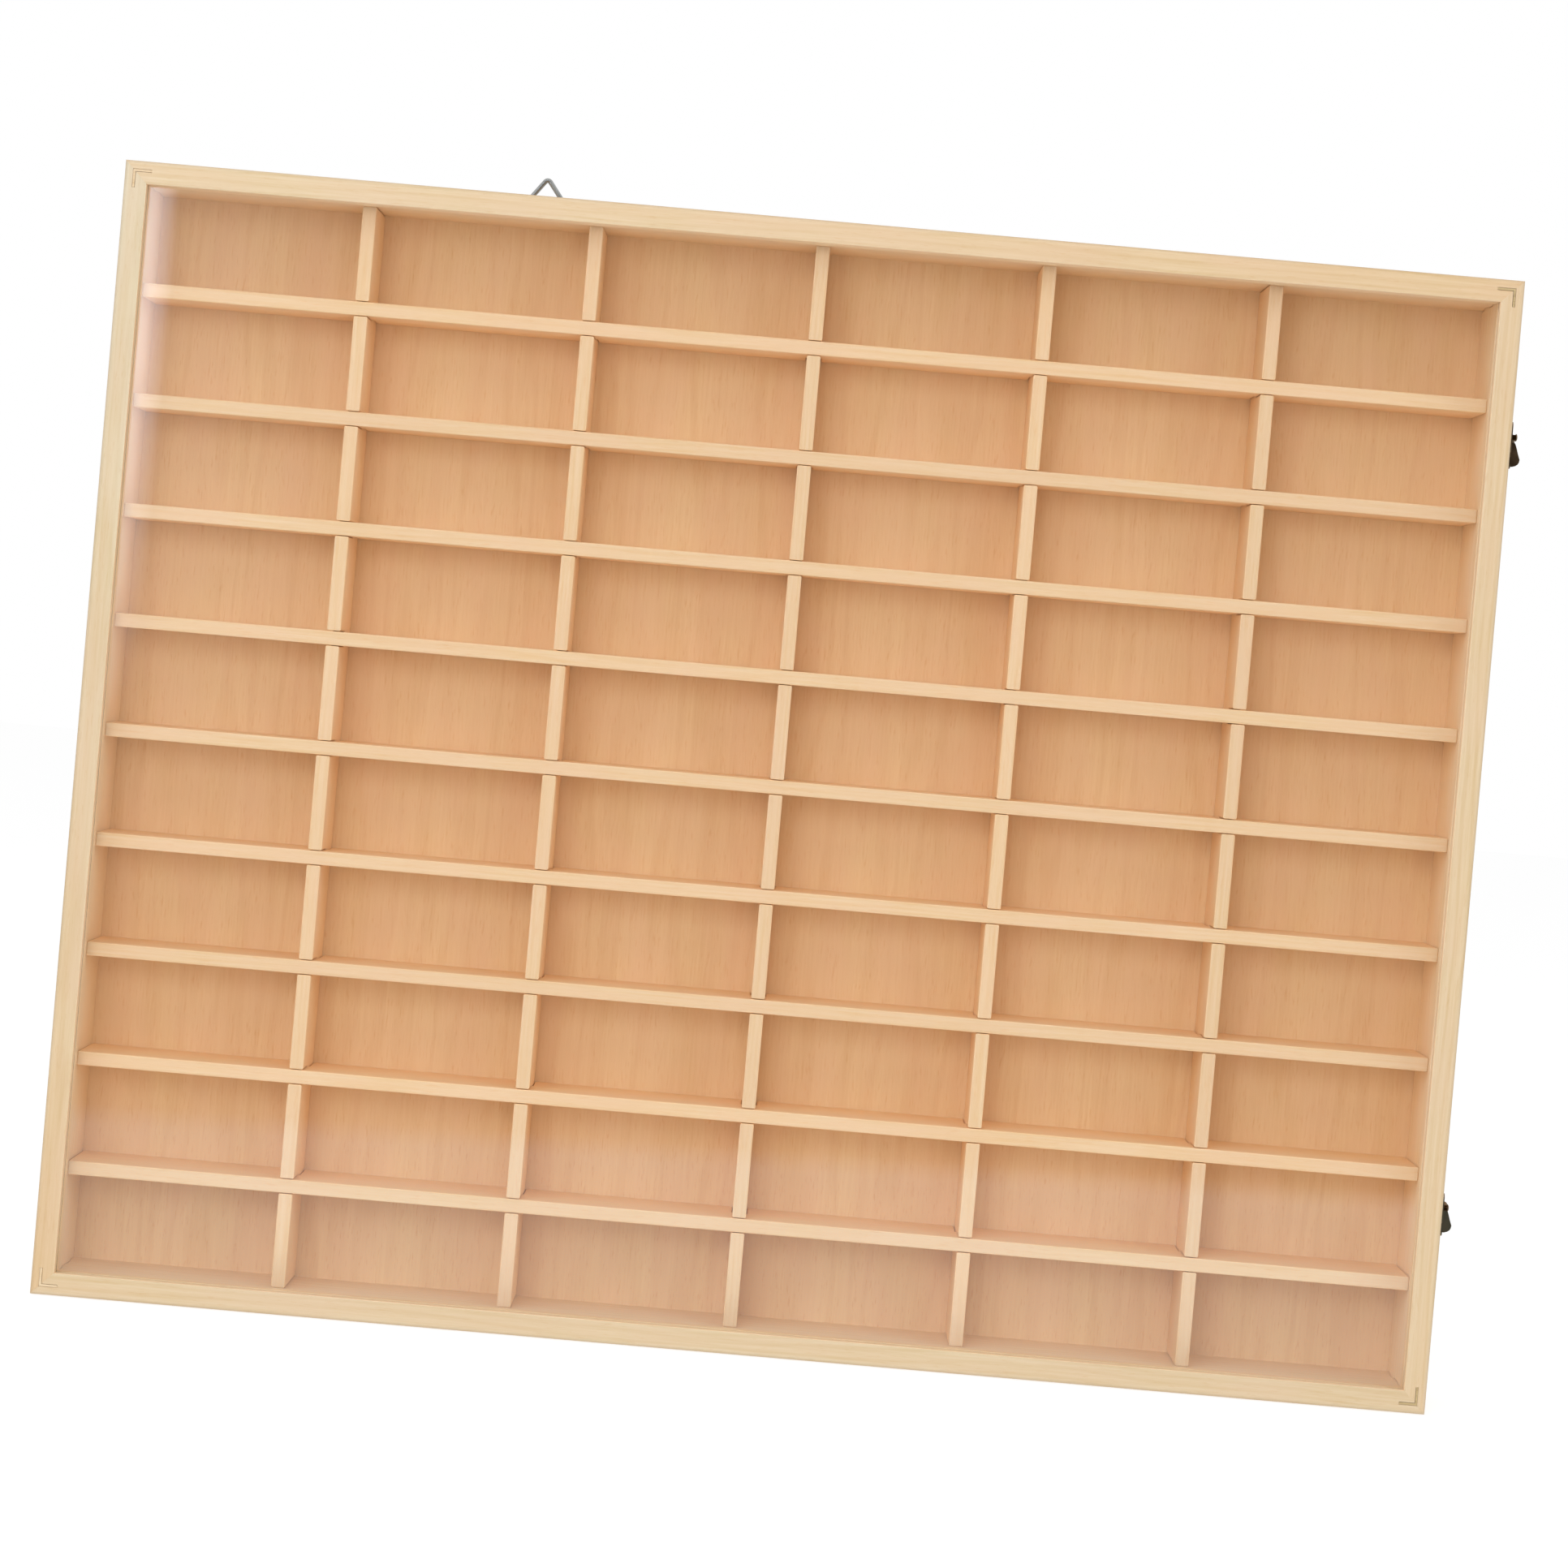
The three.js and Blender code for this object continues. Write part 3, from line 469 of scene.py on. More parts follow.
# The same, and how strongly the painted daylight lies on the front at the left or lower end, and at
# the other end. From 1 on it is at full strength
MEMBERS = {
    "bottom_rail": ("X", Z, 0.50, 0.55), "top_rail": ("X", -Z, 0.70, 0.15),
    "left_stile": ("Z", X, 0.00, 1.30), "right_stile": ("Z", -X, 0.50, 0.50),
}
MITRE_GAP = 0.09 * MM
# The least cosine at which a face looks into the compartments
LOOKS_INWARD = 0.7


def paint_outside_dim(piece, inward):
    """Marks the faces of a piece that don't look into the compartments, which its wood paints darker as
    shade.
    """
    faces = piece.data.polygons
    store(piece.data, "aged", "FLOAT", "FACE", [face.normal.dot(inward) < LOOKS_INWARD for face in faces])


for number, (place, (along, inward)) in enumerate(BOARDS.items(), 11):
    board = dress(
        "case_" + place, place + "_board", "pale_wood", board_wood, SANDED, BOARD_LEAST,
        along=along, number=number)
    paint_outside_dim(board, inward)
for number, (place, (along, inward, *painted_daylight_ends)) in enumerate(MEMBERS.items(), 21):
    member = dress(
        "door_" + place, "door_frame_" + place, "pale_wood", frame_wood, SANDED, MEMBER_LEAST,
        along=along, number=number)
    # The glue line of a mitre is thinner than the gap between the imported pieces, so both ends reach out
    axis = "XYZ".index(along)
    centre = middle("door_" + place)
    reach = corners_of(member.data)
    reach[:, axis] += np.sign(reach[:, axis] - centre[axis]) * MITRE_GAP
    member.data.vertices.foreach_set("co", reach.ravel())
    paint_outside_dim(member, inward)
    ends = reach[:, axis].min(), reach[:, axis].max()
    # Painted daylight: a cool pale wash on the faces that look forward, stronger towards one end of the
    # member
    to_front = np.clip([-vertex.normal.y for vertex in member.data.vertices], 0, 1)
    bleached = np.interp(reach[:, axis], ends, painted_daylight_ends) * to_front
    store(member.data, "bleached", "FLOAT", "POINT", bleached)
dress("back_panel", "plywood_back", "plywood", plywood, PLY_EDGE, PANEL_LEAST, along="Z", number=31)
dress("door_clear_panel", "clear_panel", "clear_panel", acrylic, SHEET_EDGE, PANEL_LEAST)
print("planks:", len(BOARDS) + len(MEMBERS))

# %% [markdown]
# ## The egg-crate of slats
#
# Nine shelves and five dividers are each one shape repeated, halved into each other at every
# crossing. Geometry Nodes suit both steps. The first tree saws one slat: a bar, less a row of
# notches. The second tree repeats it at an even pitch, and gives each copy its own place in the
# plank, because fourteen slats with the same grain would look printed.

# %% Tools for Geometry Nodes
KINDS = {
    "length": "NodeSocketFloat", "vector": "NodeSocketVector", "count": "NodeSocketInt",
    "turn": "NodeSocketRotation", "object": "NodeSocketObject", "material": "NodeSocketMaterial",
}


def new_tree(name, **inputs):
    """An empty tree with named inputs and one geometry output."""
    tree = bpy.data.node_groups.new(name, "GeometryNodeTree")
    tree.interface.new_socket("Geometry", in_out="OUTPUT", socket_type="NodeSocketGeometry")
    tree.interface.new_socket("Geometry", in_out="INPUT", socket_type="NodeSocketGeometry")
    for label, kind in inputs.items():
        tree.interface.new_socket(label, in_out="INPUT", socket_type=KINDS[kind])
    return tree, add(tree, "NodeGroupInput").outputs


def finish_tree(tree, geometry, material):
    """Ends a tree: copies made real, smooth faces, one material."""
    real = add(tree, "GeometryNodeRealizeInstances", {"Geometry": geometry})
    smooth = add(tree, "GeometryNodeSetShadeSmooth", {"Geometry": real})
    coloured = add(tree, "GeometryNodeSetMaterial", {"Geometry": smooth, "Material": material})
    add(tree, "NodeGroupOutput", {"Geometry": coloured})


def grown(tree, name, source=None, edge_radius=None, **values):
    """The plain mesh that a tree makes from its inputs, with its edges rounded if a radius is given."""
    holder = bpy.data.objects.new(name, source or bpy.data.meshes.new(name))
    bpy.context.scene.collection.objects.link(holder)
    nodes = holder.modifiers.new("nodes", "NODES")
    nodes.node_group = tree
    for socket in tree.interface.items_tree:
        if socket.in_out == "INPUT" and socket.name in values:
            nodes[socket.identifier] = values[socket.name]
    if edge_radius:
        edges = holder.modifiers.new("edges", "BEVEL")
        edges.width, edges.segments = edge_radius, ROUNDING_STEPS
        edges.limit_method, edges.angle_limit = "ANGLE", SHARP
    bpy.context.view_layer.update()
    graph = bpy.context.evaluated_depsgraph_get()
    mesh = bpy.data.meshes.new_from_object(
        holder.evaluated_get(graph), preserve_all_data_layers=True, depsgraph=graph)
    bpy.data.objects.remove(holder)
    mesh.name = name
    return mesh


print("geometry node tools ready")

# %% One notched slat
slat_tree, slat_in = new_tree(
    "notched_slat", Length="length", Depth="length", Thickness="length", Notches="count",
    First="length", Pitch="length", Notch_width="length", Notch_side="length", Material="material")
size = add(slat_tree, "ShaderNodeCombineXYZ", {
    0: slat_in["Length"], 1: slat_in["Depth"], 2: slat_in["Thickness"],
})
bar = add(slat_tree, "GeometryNodeMeshCube", {"Size": size})
tall = add(slat_tree, "ShaderNodeMath", {0: slat_in["Thickness"], 1: 2.0}, operation="MULTIPLY")
saw = add(slat_tree, "ShaderNodeCombineXYZ", {0: slat_in["Notch_width"], 1: slat_in["Depth"], 2: tall})
kerf = add(slat_tree, "GeometryNodeMeshCube", {"Size": saw})
half_lap = add(slat_tree, "ShaderNodeMath", {
    0: slat_in["Depth"], 1: slat_in["Notch_side"],
}, operation="MULTIPLY")
start = add(slat_tree, "ShaderNodeCombineXYZ", {0: slat_in["First"], 1: half_lap})
step = add(slat_tree, "ShaderNodeCombineXYZ", {0: slat_in["Pitch"]})
row = add(slat_tree, "GeometryNodeMeshLine", {
    "Count": slat_in["Notches"], "Start Location": start, "Offset": step,
}, mode="OFFSET")
kerf_row = add(slat_tree, "GeometryNodeInstanceOnPoints", {"Points": row, "Instance": kerf})
kerfs = add(slat_tree, "GeometryNodeRealizeInstances", {"Geometry": kerf_row})
sawn = add(slat_tree, "GeometryNodeMeshBoolean", {
    "Mesh 1": bar, "Mesh 2": kerfs,
}, operation="DIFFERENCE", solver="EXACT")
finish_tree(slat_tree, sawn, slat_in["Material"])
print("slat tree:", len(slat_tree.nodes), "nodes")

# %% The rack that repeats it
rack_tree, rack_in = new_tree(
    "slat_rack", Slat="object", Count="count", Start="vector", Step="vector", Turn="turn",
    Seed="count", Material="material")
slat = add(rack_tree, "GeometryNodeObjectInfo", {"Object": rack_in["Slat"]})
places = add(rack_tree, "GeometryNodeMeshLine", {
    "Count": rack_in["Count"], "Start Location": rack_in["Start"], "Offset": rack_in["Step"],
}, mode="OFFSET")
copies = add(rack_tree, "GeometryNodeInstanceOnPoints", {
    "Points": places, "Instance": slat.outputs["Geometry"], "Rotation": rack_in["Turn"],
})
# The limits of a Random Value node are sockets 0 and 1 for vectors, and 2 and 3 for single numbers
plank = add(rack_tree, "FunctionNodeRandomValue", {
    0: (0.0, 0.0, 0.0), 1: (LONGEST_PLANK,) * 3, "Seed": rack_in["Seed"],
}, data_type="FLOAT_VECTOR")
moved = add(rack_tree, "GeometryNodeStoreNamedAttribute", {
    "Geometry": copies, "Name": "plank", "Value": plank,
}, data_type="FLOAT_VECTOR", domain="INSTANCE")
shade = add(rack_tree, "FunctionNodeRandomValue", {2: -1.0, 3: 1.0, "Seed": rack_in["Seed"]})
toned = add(rack_tree, "GeometryNodeStoreNamedAttribute", {
    "Geometry": moved, "Name": "tone", "Value": shade,
}, data_type="FLOAT", domain="INSTANCE")
whole = add(rack_tree, "GeometryNodeRealizeInstances", {"Geometry": toned})
own = add(rack_tree, "GeometryNodeInputNamedAttribute", {"Name": "grain"}, data_type="FLOAT_VECTOR")
lent = add(rack_tree, "GeometryNodeInputNamedAttribute", {"Name": "plank"}, data_type="FLOAT_VECTOR")
in_plank = add(rack_tree, "ShaderNodeVectorMath", {0: own, 1: lent}, operation="ADD")
grained = add(rack_tree, "GeometryNodeStoreNamedAttribute", {
    "Geometry": whole, "Name": "grain", "Value": in_plank,
}, data_type="FLOAT_VECTOR", domain="POINT")
finish_tree(rack_tree, grained, rack_in["Material"])
print("rack tree:", len(rack_tree.nodes), "nodes")

# %% Shelves and dividers
LAP_GAP = 0.25 * MM
SLAT_EDGE = 0.6 * MM
FLAT_TURN = (0.0, 0.0, 0.0)
UPRIGHT_TURN = (0.0, -math.pi / 2, 0.0)
# Shelves are notched from the back and dividers from the front, by half their depth
FROM_BACK, FROM_FRONT = 0.5, -0.5


def first_and_pitch(stem, axis):
    """Where the first of a row of slats lies along an axis, and how far the next one is."""
    first, second = (middle(f"{stem}_{number}")[axis] for number in (1, 2))
    return first, second - first


def make_rack(name, stem, count, crossing, crossings, axis, cross_axis, notch_side, seed):
    """Cuts one slat of a family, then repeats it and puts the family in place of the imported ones."""
    low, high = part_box(f"{stem}_1")
    centre = (low + high) / 2
    extent = high - low
    first, pitch = first_and_pitch(crossing, cross_axis)
    mesh = grown(
        slat_tree, f"one_{stem}", edge_radius=SLAT_EDGE, Length=extent[cross_axis], Depth=extent.y,
        Thickness=extent[axis], Notches=crossings, First=first - centre[cross_axis], Pitch=pitch,
        Notch_width=extent[axis] + 2 * LAP_GAP, Notch_side=notch_side, Material=slat_wood)
    store(mesh, "grain", "FLOAT_VECTOR", "POINT", corners_of(mesh))
    cut_across = [abs(face.normal.x) > SQUARELY and face.area > SLAT_EDGE ** 2 for face in mesh.polygons]
    store(mesh, "end_grain", "FLOAT", "FACE", cut_across)
    # The slats' front faces are painted darker too, painted shade as on the faces outside the compartments
    store(mesh, "aged", "FLOAT", "FACE", [face.normal.y < -SQUARELY for face in mesh.polygons])
    pattern = bpy.data.objects.new(mesh.name, mesh)
    bpy.context.scene.collection.objects.link(pattern)
    own_first, own_pitch = first_and_pitch(stem, axis)
    begin, offset = centre.copy(), Vector()
    begin[axis], offset[axis] = own_first, own_pitch
    rack = grown(
        rack_tree, name, Slat=pattern, Count=count, Start=begin, Step=offset,
        Turn=UPRIGHT_TURN if axis == 0 else FLAT_TURN, Seed=seed, Material=slat_wood)
    bpy.data.objects.remove(pattern)
    rack.set_sharp_from_angle(angle=CREASE)
    packed = [f"{stem}_{number + 1}" for number in range(count)]
    place_piece(rack, name, "case", "slat_wood", *packed)


shelf_count = sum(node.startswith("shelf_") for node in frame["nodes"])
divider_count = sum(node.startswith("divider_") for node in frame["nodes"])
make_rack("shelves", "shelf", shelf_count, "divider", divider_count, 2, 0, FROM_BACK, seed=5)
make_rack("dividers", "divider", divider_count, "shelf", shelf_count, 0, 2, FROM_FRONT, seed=6)
print("slats:", shelf_count, "shelves and", divider_count, "dividers")

# %% [markdown]
# ## Hardware
#
# The stamped leaves, plates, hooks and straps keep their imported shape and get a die's soft edge.
# The screws are one countersunk screw with a cross recess, set into every hole by a tree that turns
# each recess differently, as a screwdriver leaves them.

# %% Leaves, plates, hooks and wedges
STAMPED = 0.14 * MM
FILED = 0.08 * MM
HINGE_LEAST = 0.7 * MM
LATCH_LEAST = 0.5 * MM
WEDGE_LEAST = 0.4 * MM
STAMPINGS = {
    "hinge": (("case_leaf", "door_leaf", "pin"), HINGE_LEAST),
    "latch": (("base", "hook", "catch_plate", "catch_stud"), LATCH_LEAST),
}
for place in ("upper", "lower"):
    for kind, (parts, least_edge) in STAMPINGS.items():
        for part in parts:
            node = f"{kind}_{place}_{part}"
            dress(node, f"{place}_{kind}_{part}", "bronze", bronze, STAMPED, least_edge)
for side in ("left", "right"):
    dress(f"hanger_{side}_strap", f"{side}_hanger_strap", "zinc", zinc, STAMPED, HINGE_LEAST)
for number, corner in enumerate(("bottom_left", "top_left", "top_right", "bottom_right"), 41):
    filler = pale_filler if "left" in corner else brown_filler
    dress(f"corner_wedge_{corner}", f"wedge_{corner}", "zinc", filler, FILED, WEDGE_LEAST, 2, "X", number)
print("stamped pieces dressed")

# %% One screw with a cross recess
SCREW_SIDES = 28
LIP_SHARE = 0.06
RECESS_WIDTH_SHARE = 0.26
RECESS_REACH_SHARE = 0.62
RECESS_DEPTH_SHARE = 0.85
RECESS_FLOOR_SHARE = 0.45


def turned_mesh(name, profile, sides):
    """A mesh turned about Z from pairs of radius and height, the first and the last on the axis."""
    work = bmesh.new()
    rings = []
    for radius, height in profile:
        if radius == 0:
            rings.append([work.verts.new((0, 0, height))])
        else:
            angles = [math.tau * side / sides for side in range(sides)]
            places = [(radius * math.cos(angle), radius * math.sin(angle), height) for angle in angles]
            rings.append([work.verts.new(place) for place in places])
    for lower, upper in zip(rings, rings[1:]):
        for side in range(sides):
            after = (side + 1) % sides
            ring = [lower[side % len(lower)], lower[after % len(lower)],
                    upper[after % len(upper)], upper[side % len(upper)]]
            work.faces.new(list(dict.fromkeys(ring)))
    bmesh.ops.recalc_face_normals(work, faces=work.faces)
    mesh = bpy.data.meshes.new(name)
    work.to_mesh(mesh)
    work.free()
    return mesh


def cross_cutter(name, radius, depth):
    """Two tapered bars crossed, as deep as the recess."""
    work = bmesh.new()
    half, reach = radius * RECESS_WIDTH_SHARE / 2, radius * RECESS_REACH_SHARE
    for wide, long in ((half, reach), (reach, half)):
        made = bmesh.ops.create_cube(work, size=2.0)["verts"]
        for vert in made:
            taper = 1.0 if vert.co.z > 0 else RECESS_FLOOR_SHARE
            vert.co = Vector((vert.co.x * wide * taper, vert.co.y * long * taper, vert.co.z * depth))
    mesh = bpy.data.meshes.new(name)
    work.to_mesh(mesh)
    work.free()
    return mesh


def countersunk_screw(name, head_radius, head_depth, shank_radius, length, tip):
    """A screw that points down Z, its head flush with the origin and its recess cut in."""
    lip = head_radius * LIP_SHARE
    mesh = turned_mesh(name, [
        (0, -length), (shank_radius, tip - length), (shank_radius, -head_depth),
        (head_radius, -lip), (head_radius - lip / 2, 0), (0, 0),
    ], SCREW_SIDES)
    screw = bpy.data.objects.new(name, mesh)
    cutter_mesh = cross_cutter(name, head_radius, head_depth * RECESS_DEPTH_SHARE)
    cutter = bpy.data.objects.new(name + "_cutter", cutter_mesh)
    for thing in (screw, cutter):
        bpy.context.scene.collection.objects.link(thing)
    cross = screw.modifiers.new("cross", "BOOLEAN")
    cross.object, cross.use_self = cutter, True
    cross.operation, cross.solver = "DIFFERENCE", "EXACT"
    bpy.context.view_layer.update()
    graph = bpy.context.evaluated_depsgraph_get()
    screw_mesh = bpy.data.meshes.new_from_object(screw.evaluated_get(graph))
    screw.modifiers.clear()
    screw.data = screw_mesh
    bpy.data.objects.remove(cutter)
    return screw


print("a screw is turned with", SCREW_SIDES, "sides")

# %% Screws set by Geometry Nodes
set_tree, set_in = new_tree(
    "set_screws", Screw="object", Facing="vector", Seed="count", Material="material")
one = add(set_tree, "GeometryNodeObjectInfo", {"Object": set_in["Screw"]})
heading = add(set_tree, "FunctionNodeAlignRotationToVector", {"Vector": set_in["Facing"]}, axis="Z")
spin = add(set_tree, "FunctionNodeRandomValue", {2: 0.0, 3: math.pi / 2, "Seed": set_in["Seed"]})
spun = add(set_tree, "FunctionNodeAxisAngleToRotation", {"Axis": (0, 0, 1), "Angle": spin})
facing = add(set_tree, "FunctionNodeRotateRotation", {
    "Rotation": heading, "Rotate By": spun,
}, rotation_space="LOCAL")
driven = add(set_tree, "GeometryNodeInstanceOnPoints", {
    "Points": set_in["Geometry"], "Instance": one.outputs["Geometry"], "Rotation": facing,
})
finish_tree(set_tree, driven, set_in["Material"])


def points_mesh(name, places):
    mesh = bpy.data.meshes.new(name)
    mesh.from_pydata([tuple(place) for place in places], [], [])
    return mesh


def set_screws(name, nodes, facing, size, slot, material, seed):
    """Replaces packed screws that face the same way with detailed ones in the same holes."""
    side = 1 if sum(facing) > 0 else 0
    axis = max(range(3), key=lambda number: abs(facing[number]))
    heads = []
    for node in nodes:
        head = middle(node)
        head[axis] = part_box(node)[side][axis]
        heads.append(head)
    screw = countersunk_screw("screw_for_" + name, *[value * MM for value in size])
    mesh = grown(
        set_tree, name, points_mesh(name, heads), Screw=screw, Facing=facing, Seed=seed, Material=material)
    bpy.data.objects.remove(screw)
    mesh.set_sharp_from_angle(angle=CREASE)
    place_piece(mesh, name, BODY_OF[nodes[0]], slot, *nodes)


# Head radius and depth, shank radius, length and tip, in millimetres
LEAF_SCREW = (1.5, 0.7, 0.75, 5, 1.4)
PLATE_SCREW = (1.4, 0.65, 0.7, 5, 1.4)
HANGER_SCREW = (1.9, 0.7, 0.9, 3.5, 0.8)
pairs = [(place, number) for place in ("upper", "lower") for number in (1, 2)]
case_screws = [f"hinge_{place}_case_screw_{number}" for place, number in pairs]
door_screws = [f"hinge_{place}_door_screw_{number}" for place, number in pairs]
base_screws = [f"latch_{place}_base_screw_{number}" for place, number in pairs]
hanger_screws = [f"hanger_{side}_screw" for side in ("left", "right")]
set_screws("hinge_screws_in_case", case_screws, -Y, LEAF_SCREW, "bronze", bronze, seed=1)
set_screws("hinge_screws_in_door", door_screws, Y, LEAF_SCREW, "bronze", bronze, seed=2)
set_screws("latch_screws", base_screws, X, PLATE_SCREW, "bronze", bronze, seed=3)
set_screws("hanger_screws", hanger_screws, Y, HANGER_SCREW, "zinc", zinc, seed=4)
print("screws set:", len(case_screws + door_screws + base_screws + hanger_screws))

# %% [markdown]
# ## Hanger rings
#
# A ring is one length of wire bent into a triangle, its two ends meeting inside the rolled eye. A
# wire is a path with a round section, so a tree rounds the corners of a five-point path and sweeps
# a circle along it. The corner radius is an attribute of the points.

# %% Hanger rings
WIRE_RADIUS = 0.9 * MM
HALF_BASE = 11 * MM
BASE_ANGLE = math.radians(53)
CORNER_ROUND = 1.6 * MM
APEX_ROUND = 1.2 * MM
END_GAP = 0.2 * MM
WIRE_SIDES = 20
BEND_STEPS = 12

wire_tree, wire_in = new_tree("bent_wire", Radius="length", Sides="count", Material="material")
bend = add(wire_tree, "GeometryNodeInputNamedAttribute", {"Name": "bend"}, data_type="FLOAT")
line = add(wire_tree, "GeometryNodeMeshToCurve", {"Mesh": wire_in["Geometry"]})
bent = add(wire_tree, "GeometryNodeFilletCurve", {
    "Curve": line, "Radius": bend, "Count": BEND_STEPS,
}, mode="POLY")
section = add(wire_tree, "GeometryNodeCurvePrimitiveCircle", {
    "Resolution": wire_in["Sides"], "Radius": wire_in["Radius"],
})
swept = add(wire_tree, "GeometryNodeCurveToMesh", {
    "Curve": bent, "Profile Curve": section, "Fill Caps": True,
})
finish_tree(wire_tree, swept, wire_in["Material"])

for side, up_or_down in (("left", 1), ("right", -1)):
    strap_low, strap_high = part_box(f"hanger_{side}_strap")
    ring_low, ring_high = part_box(f"hanger_{side}_ring")
    eye_z = ring_low.z + WIRE_RADIUS if up_or_down > 0 else ring_high.z - WIRE_RADIUS
    eye = Vector(((strap_low.x + strap_high.x) / 2, (ring_low.y + ring_high.y) / 2, eye_z))
    apex = HALF_BASE * math.tan(BASE_ANGLE) * up_or_down
    points = [(END_GAP, 0), (HALF_BASE, 0), (0, apex), (-HALF_BASE, 0), (-END_GAP, 0)]
    bends = [0, CORNER_ROUND, APEX_ROUND, CORNER_ROUND, 0]
    stretches = [(number, number + 1) for number in range(len(points) - 1)]
    route = bpy.data.meshes.new(f"{side}_ring_route")
    route.from_pydata([eye + Vector((x, 0, z)) for x, z in points], stretches, [])
    store(route, "bend", "FLOAT", "POINT", bends)
    wire = grown(wire_tree, f"{side}_ring_wire", route, Radius=WIRE_RADIUS, Sides=WIRE_SIDES, Material=zinc)
    wire.set_sharp_from_angle(angle=CREASE)
    place_piece(wire, f"{side}_ring_wire", f"{side}_ring", "zinc", f"hanger_{side}_ring")
print("rings bent")

# %% [markdown]
# ## Brads in the back
#
# The plywood is held in its rebate by a row of thin brads, a hand's breadth apart. They are too
# many and too small to be pieces of the construction, so a tree walks round a rectangle and sets a
# flat head at each step.

# %% Brads
BRAD_INSET = 2.1 * MM
BRAD_SPACING = 70 * MM
BRAD_RADIUS = 0.8 * MM
BRAD_PROUD = 0.15 * MM
BRAD_DEPTH = 2.5 * MM
BRAD_SIDES = 14
BRAD_SHANK_SHARE = 0.45
BRAD_TOP_SHARE = 0.8
BRAD_CREASE = math.radians(30)

brad_tree, brad_in = new_tree(
    "brads_round_an_edge", Brad="object", Width="length", Height="length", Centre="vector",
    Spacing="length", Material="material")
loop = add(brad_tree, "GeometryNodeCurvePrimitiveQuadrilateral", {
    "Width": brad_in["Width"], "Height": brad_in["Height"],
})
upright_loop = add(brad_tree, "GeometryNodeTransform", {
    "Geometry": loop, "Translation": brad_in["Centre"], "Rotation": (math.pi / 2, 0, 0),
})
steps = add(brad_tree, "GeometryNodeResampleCurve", {
    "Curve": upright_loop, "Length": brad_in["Spacing"],
}, mode="LENGTH")
nail = add(brad_tree, "GeometryNodeObjectInfo", {"Object": brad_in["Brad"]})
nailed = add(brad_tree, "GeometryNodeInstanceOnPoints", {
    "Points": steps, "Instance": nail.outputs["Geometry"], "Rotation": (-math.pi / 2, 0, 0),
})
finish_tree(brad_tree, nailed, brad_in["Material"])

shank = BRAD_RADIUS * BRAD_SHANK_SHARE
brad = bpy.data.objects.new("brad", turned_mesh("brad", [
    (0, -BRAD_DEPTH), (shank, -BRAD_DEPTH * BRAD_TOP_SHARE), (shank, 0),
    (BRAD_RADIUS, 0), (BRAD_RADIUS * BRAD_TOP_SHARE, BRAD_PROUD), (0, BRAD_PROUD),
], BRAD_SIDES))
bpy.context.scene.collection.objects.link(brad)
back_low, back_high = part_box("back_panel")
brads = grown(
    brad_tree, "back_brads", Brad=brad, Width=back_high.x - back_low.x - 2 * BRAD_INSET,
    Height=back_high.z - back_low.z - 2 * BRAD_INSET,
    Centre=Vector(((back_low.x + back_high.x) / 2, WALL, (back_low.z + back_high.z) / 2)),
    Spacing=BRAD_SPACING, Material=zinc)
brad_count = len(brads.vertices) // len(brad.data.vertices)
bpy.data.objects.remove(brad)
brads.set_sharp_from_angle(angle=BRAD_CREASE)
place_piece(brads, "back_brads", "case", "zinc")
print("brads:", brad_count)

# %% [markdown]
# ## Floor, light and what the acrylic mirrors
#
# The picture is a cut-out on white. The world is white to the camera and to reflections, and gives
# the case a little over half of its light; soft lamps make up the rest and shade the compartments.
# The floor is white too, and keeps the shadow.
#
# A clear panel is seen by what it mirrors: here a sheet of white paper in front of the case, which
# veils the lowest compartments, and a window at the left, which draws a pale strip. Between them the
# room behind the camera is dark, which a nearly black card stands for. Only reflections see the cards
# and the paper's cool glow. A ray that has merely crossed the sheet, front and back, has two bounces
# behind it, while one that was mirrored inside the sheet has three or more; this tells what lies
# beyond the sheet from what it mirrors.

# %% Light that only some rays see
scene = bpy.context.scene
scene.view_settings.view_transform = "Standard"
AMBIENT = 0.59
CROSSED_ONLY = 2.5

world = bpy.data.worlds.new("studio")
scene.world = world
world.use_nodes = True
sky_tree = world.node_tree
sky_tree.nodes.clear()
rays = add(sky_tree, "ShaderNodeLightPath").outputs
mirrors = add(sky_tree, "ShaderNodeMath", {
    0: rays["Is Glossy Ray"], 1: rays["Is Transmission Ray"],
}, operation="MAXIMUM")
shows = add(sky_tree, "ShaderNodeMath", {0: rays["Is Camera Ray"], 1: mirrors}, operation="MAXIMUM")
brightness = add(sky_tree, "ShaderNodeMapRange", {"Value": shows, "To Min": AMBIENT})
sky = add(sky_tree, "ShaderNodeBackground", {"Color": linear("#FFFFFF"), "Strength": brightness})
add(sky_tree, "ShaderNodeOutputWorld", {"Surface": sky})


def straight_through(tree):
    """1 for a ray that came through the clear sheet without being mirrored by it, else 0."""
    path = add(tree, "ShaderNodeLightPath").outputs
    short = add(tree, "ShaderNodeMath", {0: path["Ray Depth"], 1: CROSSED_ONLY}, operation="LESS_THAN")
    return add(tree, "ShaderNodeMath", {0: path["Is Transmission Ray"], 1: short}, operation="MULTIPLY")


def card(name, corners, material, camera=False):
    """A flat sheet of the studio, which reflections show and which lights and shades nothing itself."""
    mesh = bpy.data.meshes.new(name)
    mesh.from_pydata(corners, [], [list(range(len(corners)))])
    mesh.materials.append(material)
    sheet = bpy.data.objects.new(name, mesh)
    scene.collection.objects.link(sheet)
    sheet.visible_camera = camera
    sheet.visible_diffuse = False
    sheet.visible_shadow = False


def close_mirrored(tree, shader):
    """Ends a material that only reflections see."""
    clear = add(tree, "ShaderNodeBsdfTransparent")
    shown = add(tree, "ShaderNodeMixShader", {0: straight_through(tree), 1: shader, 2: clear})
    add(tree, "ShaderNodeOutputMaterial", {"Surface": shown})


def rectangle(left, right, low, high, y):
    """The corners of an upright rectangle that faces the case."""
    return [(left, y, low), (right, y, low), (right, y, high), (left, y, high)]


print("the world lights the case at", AMBIENT)

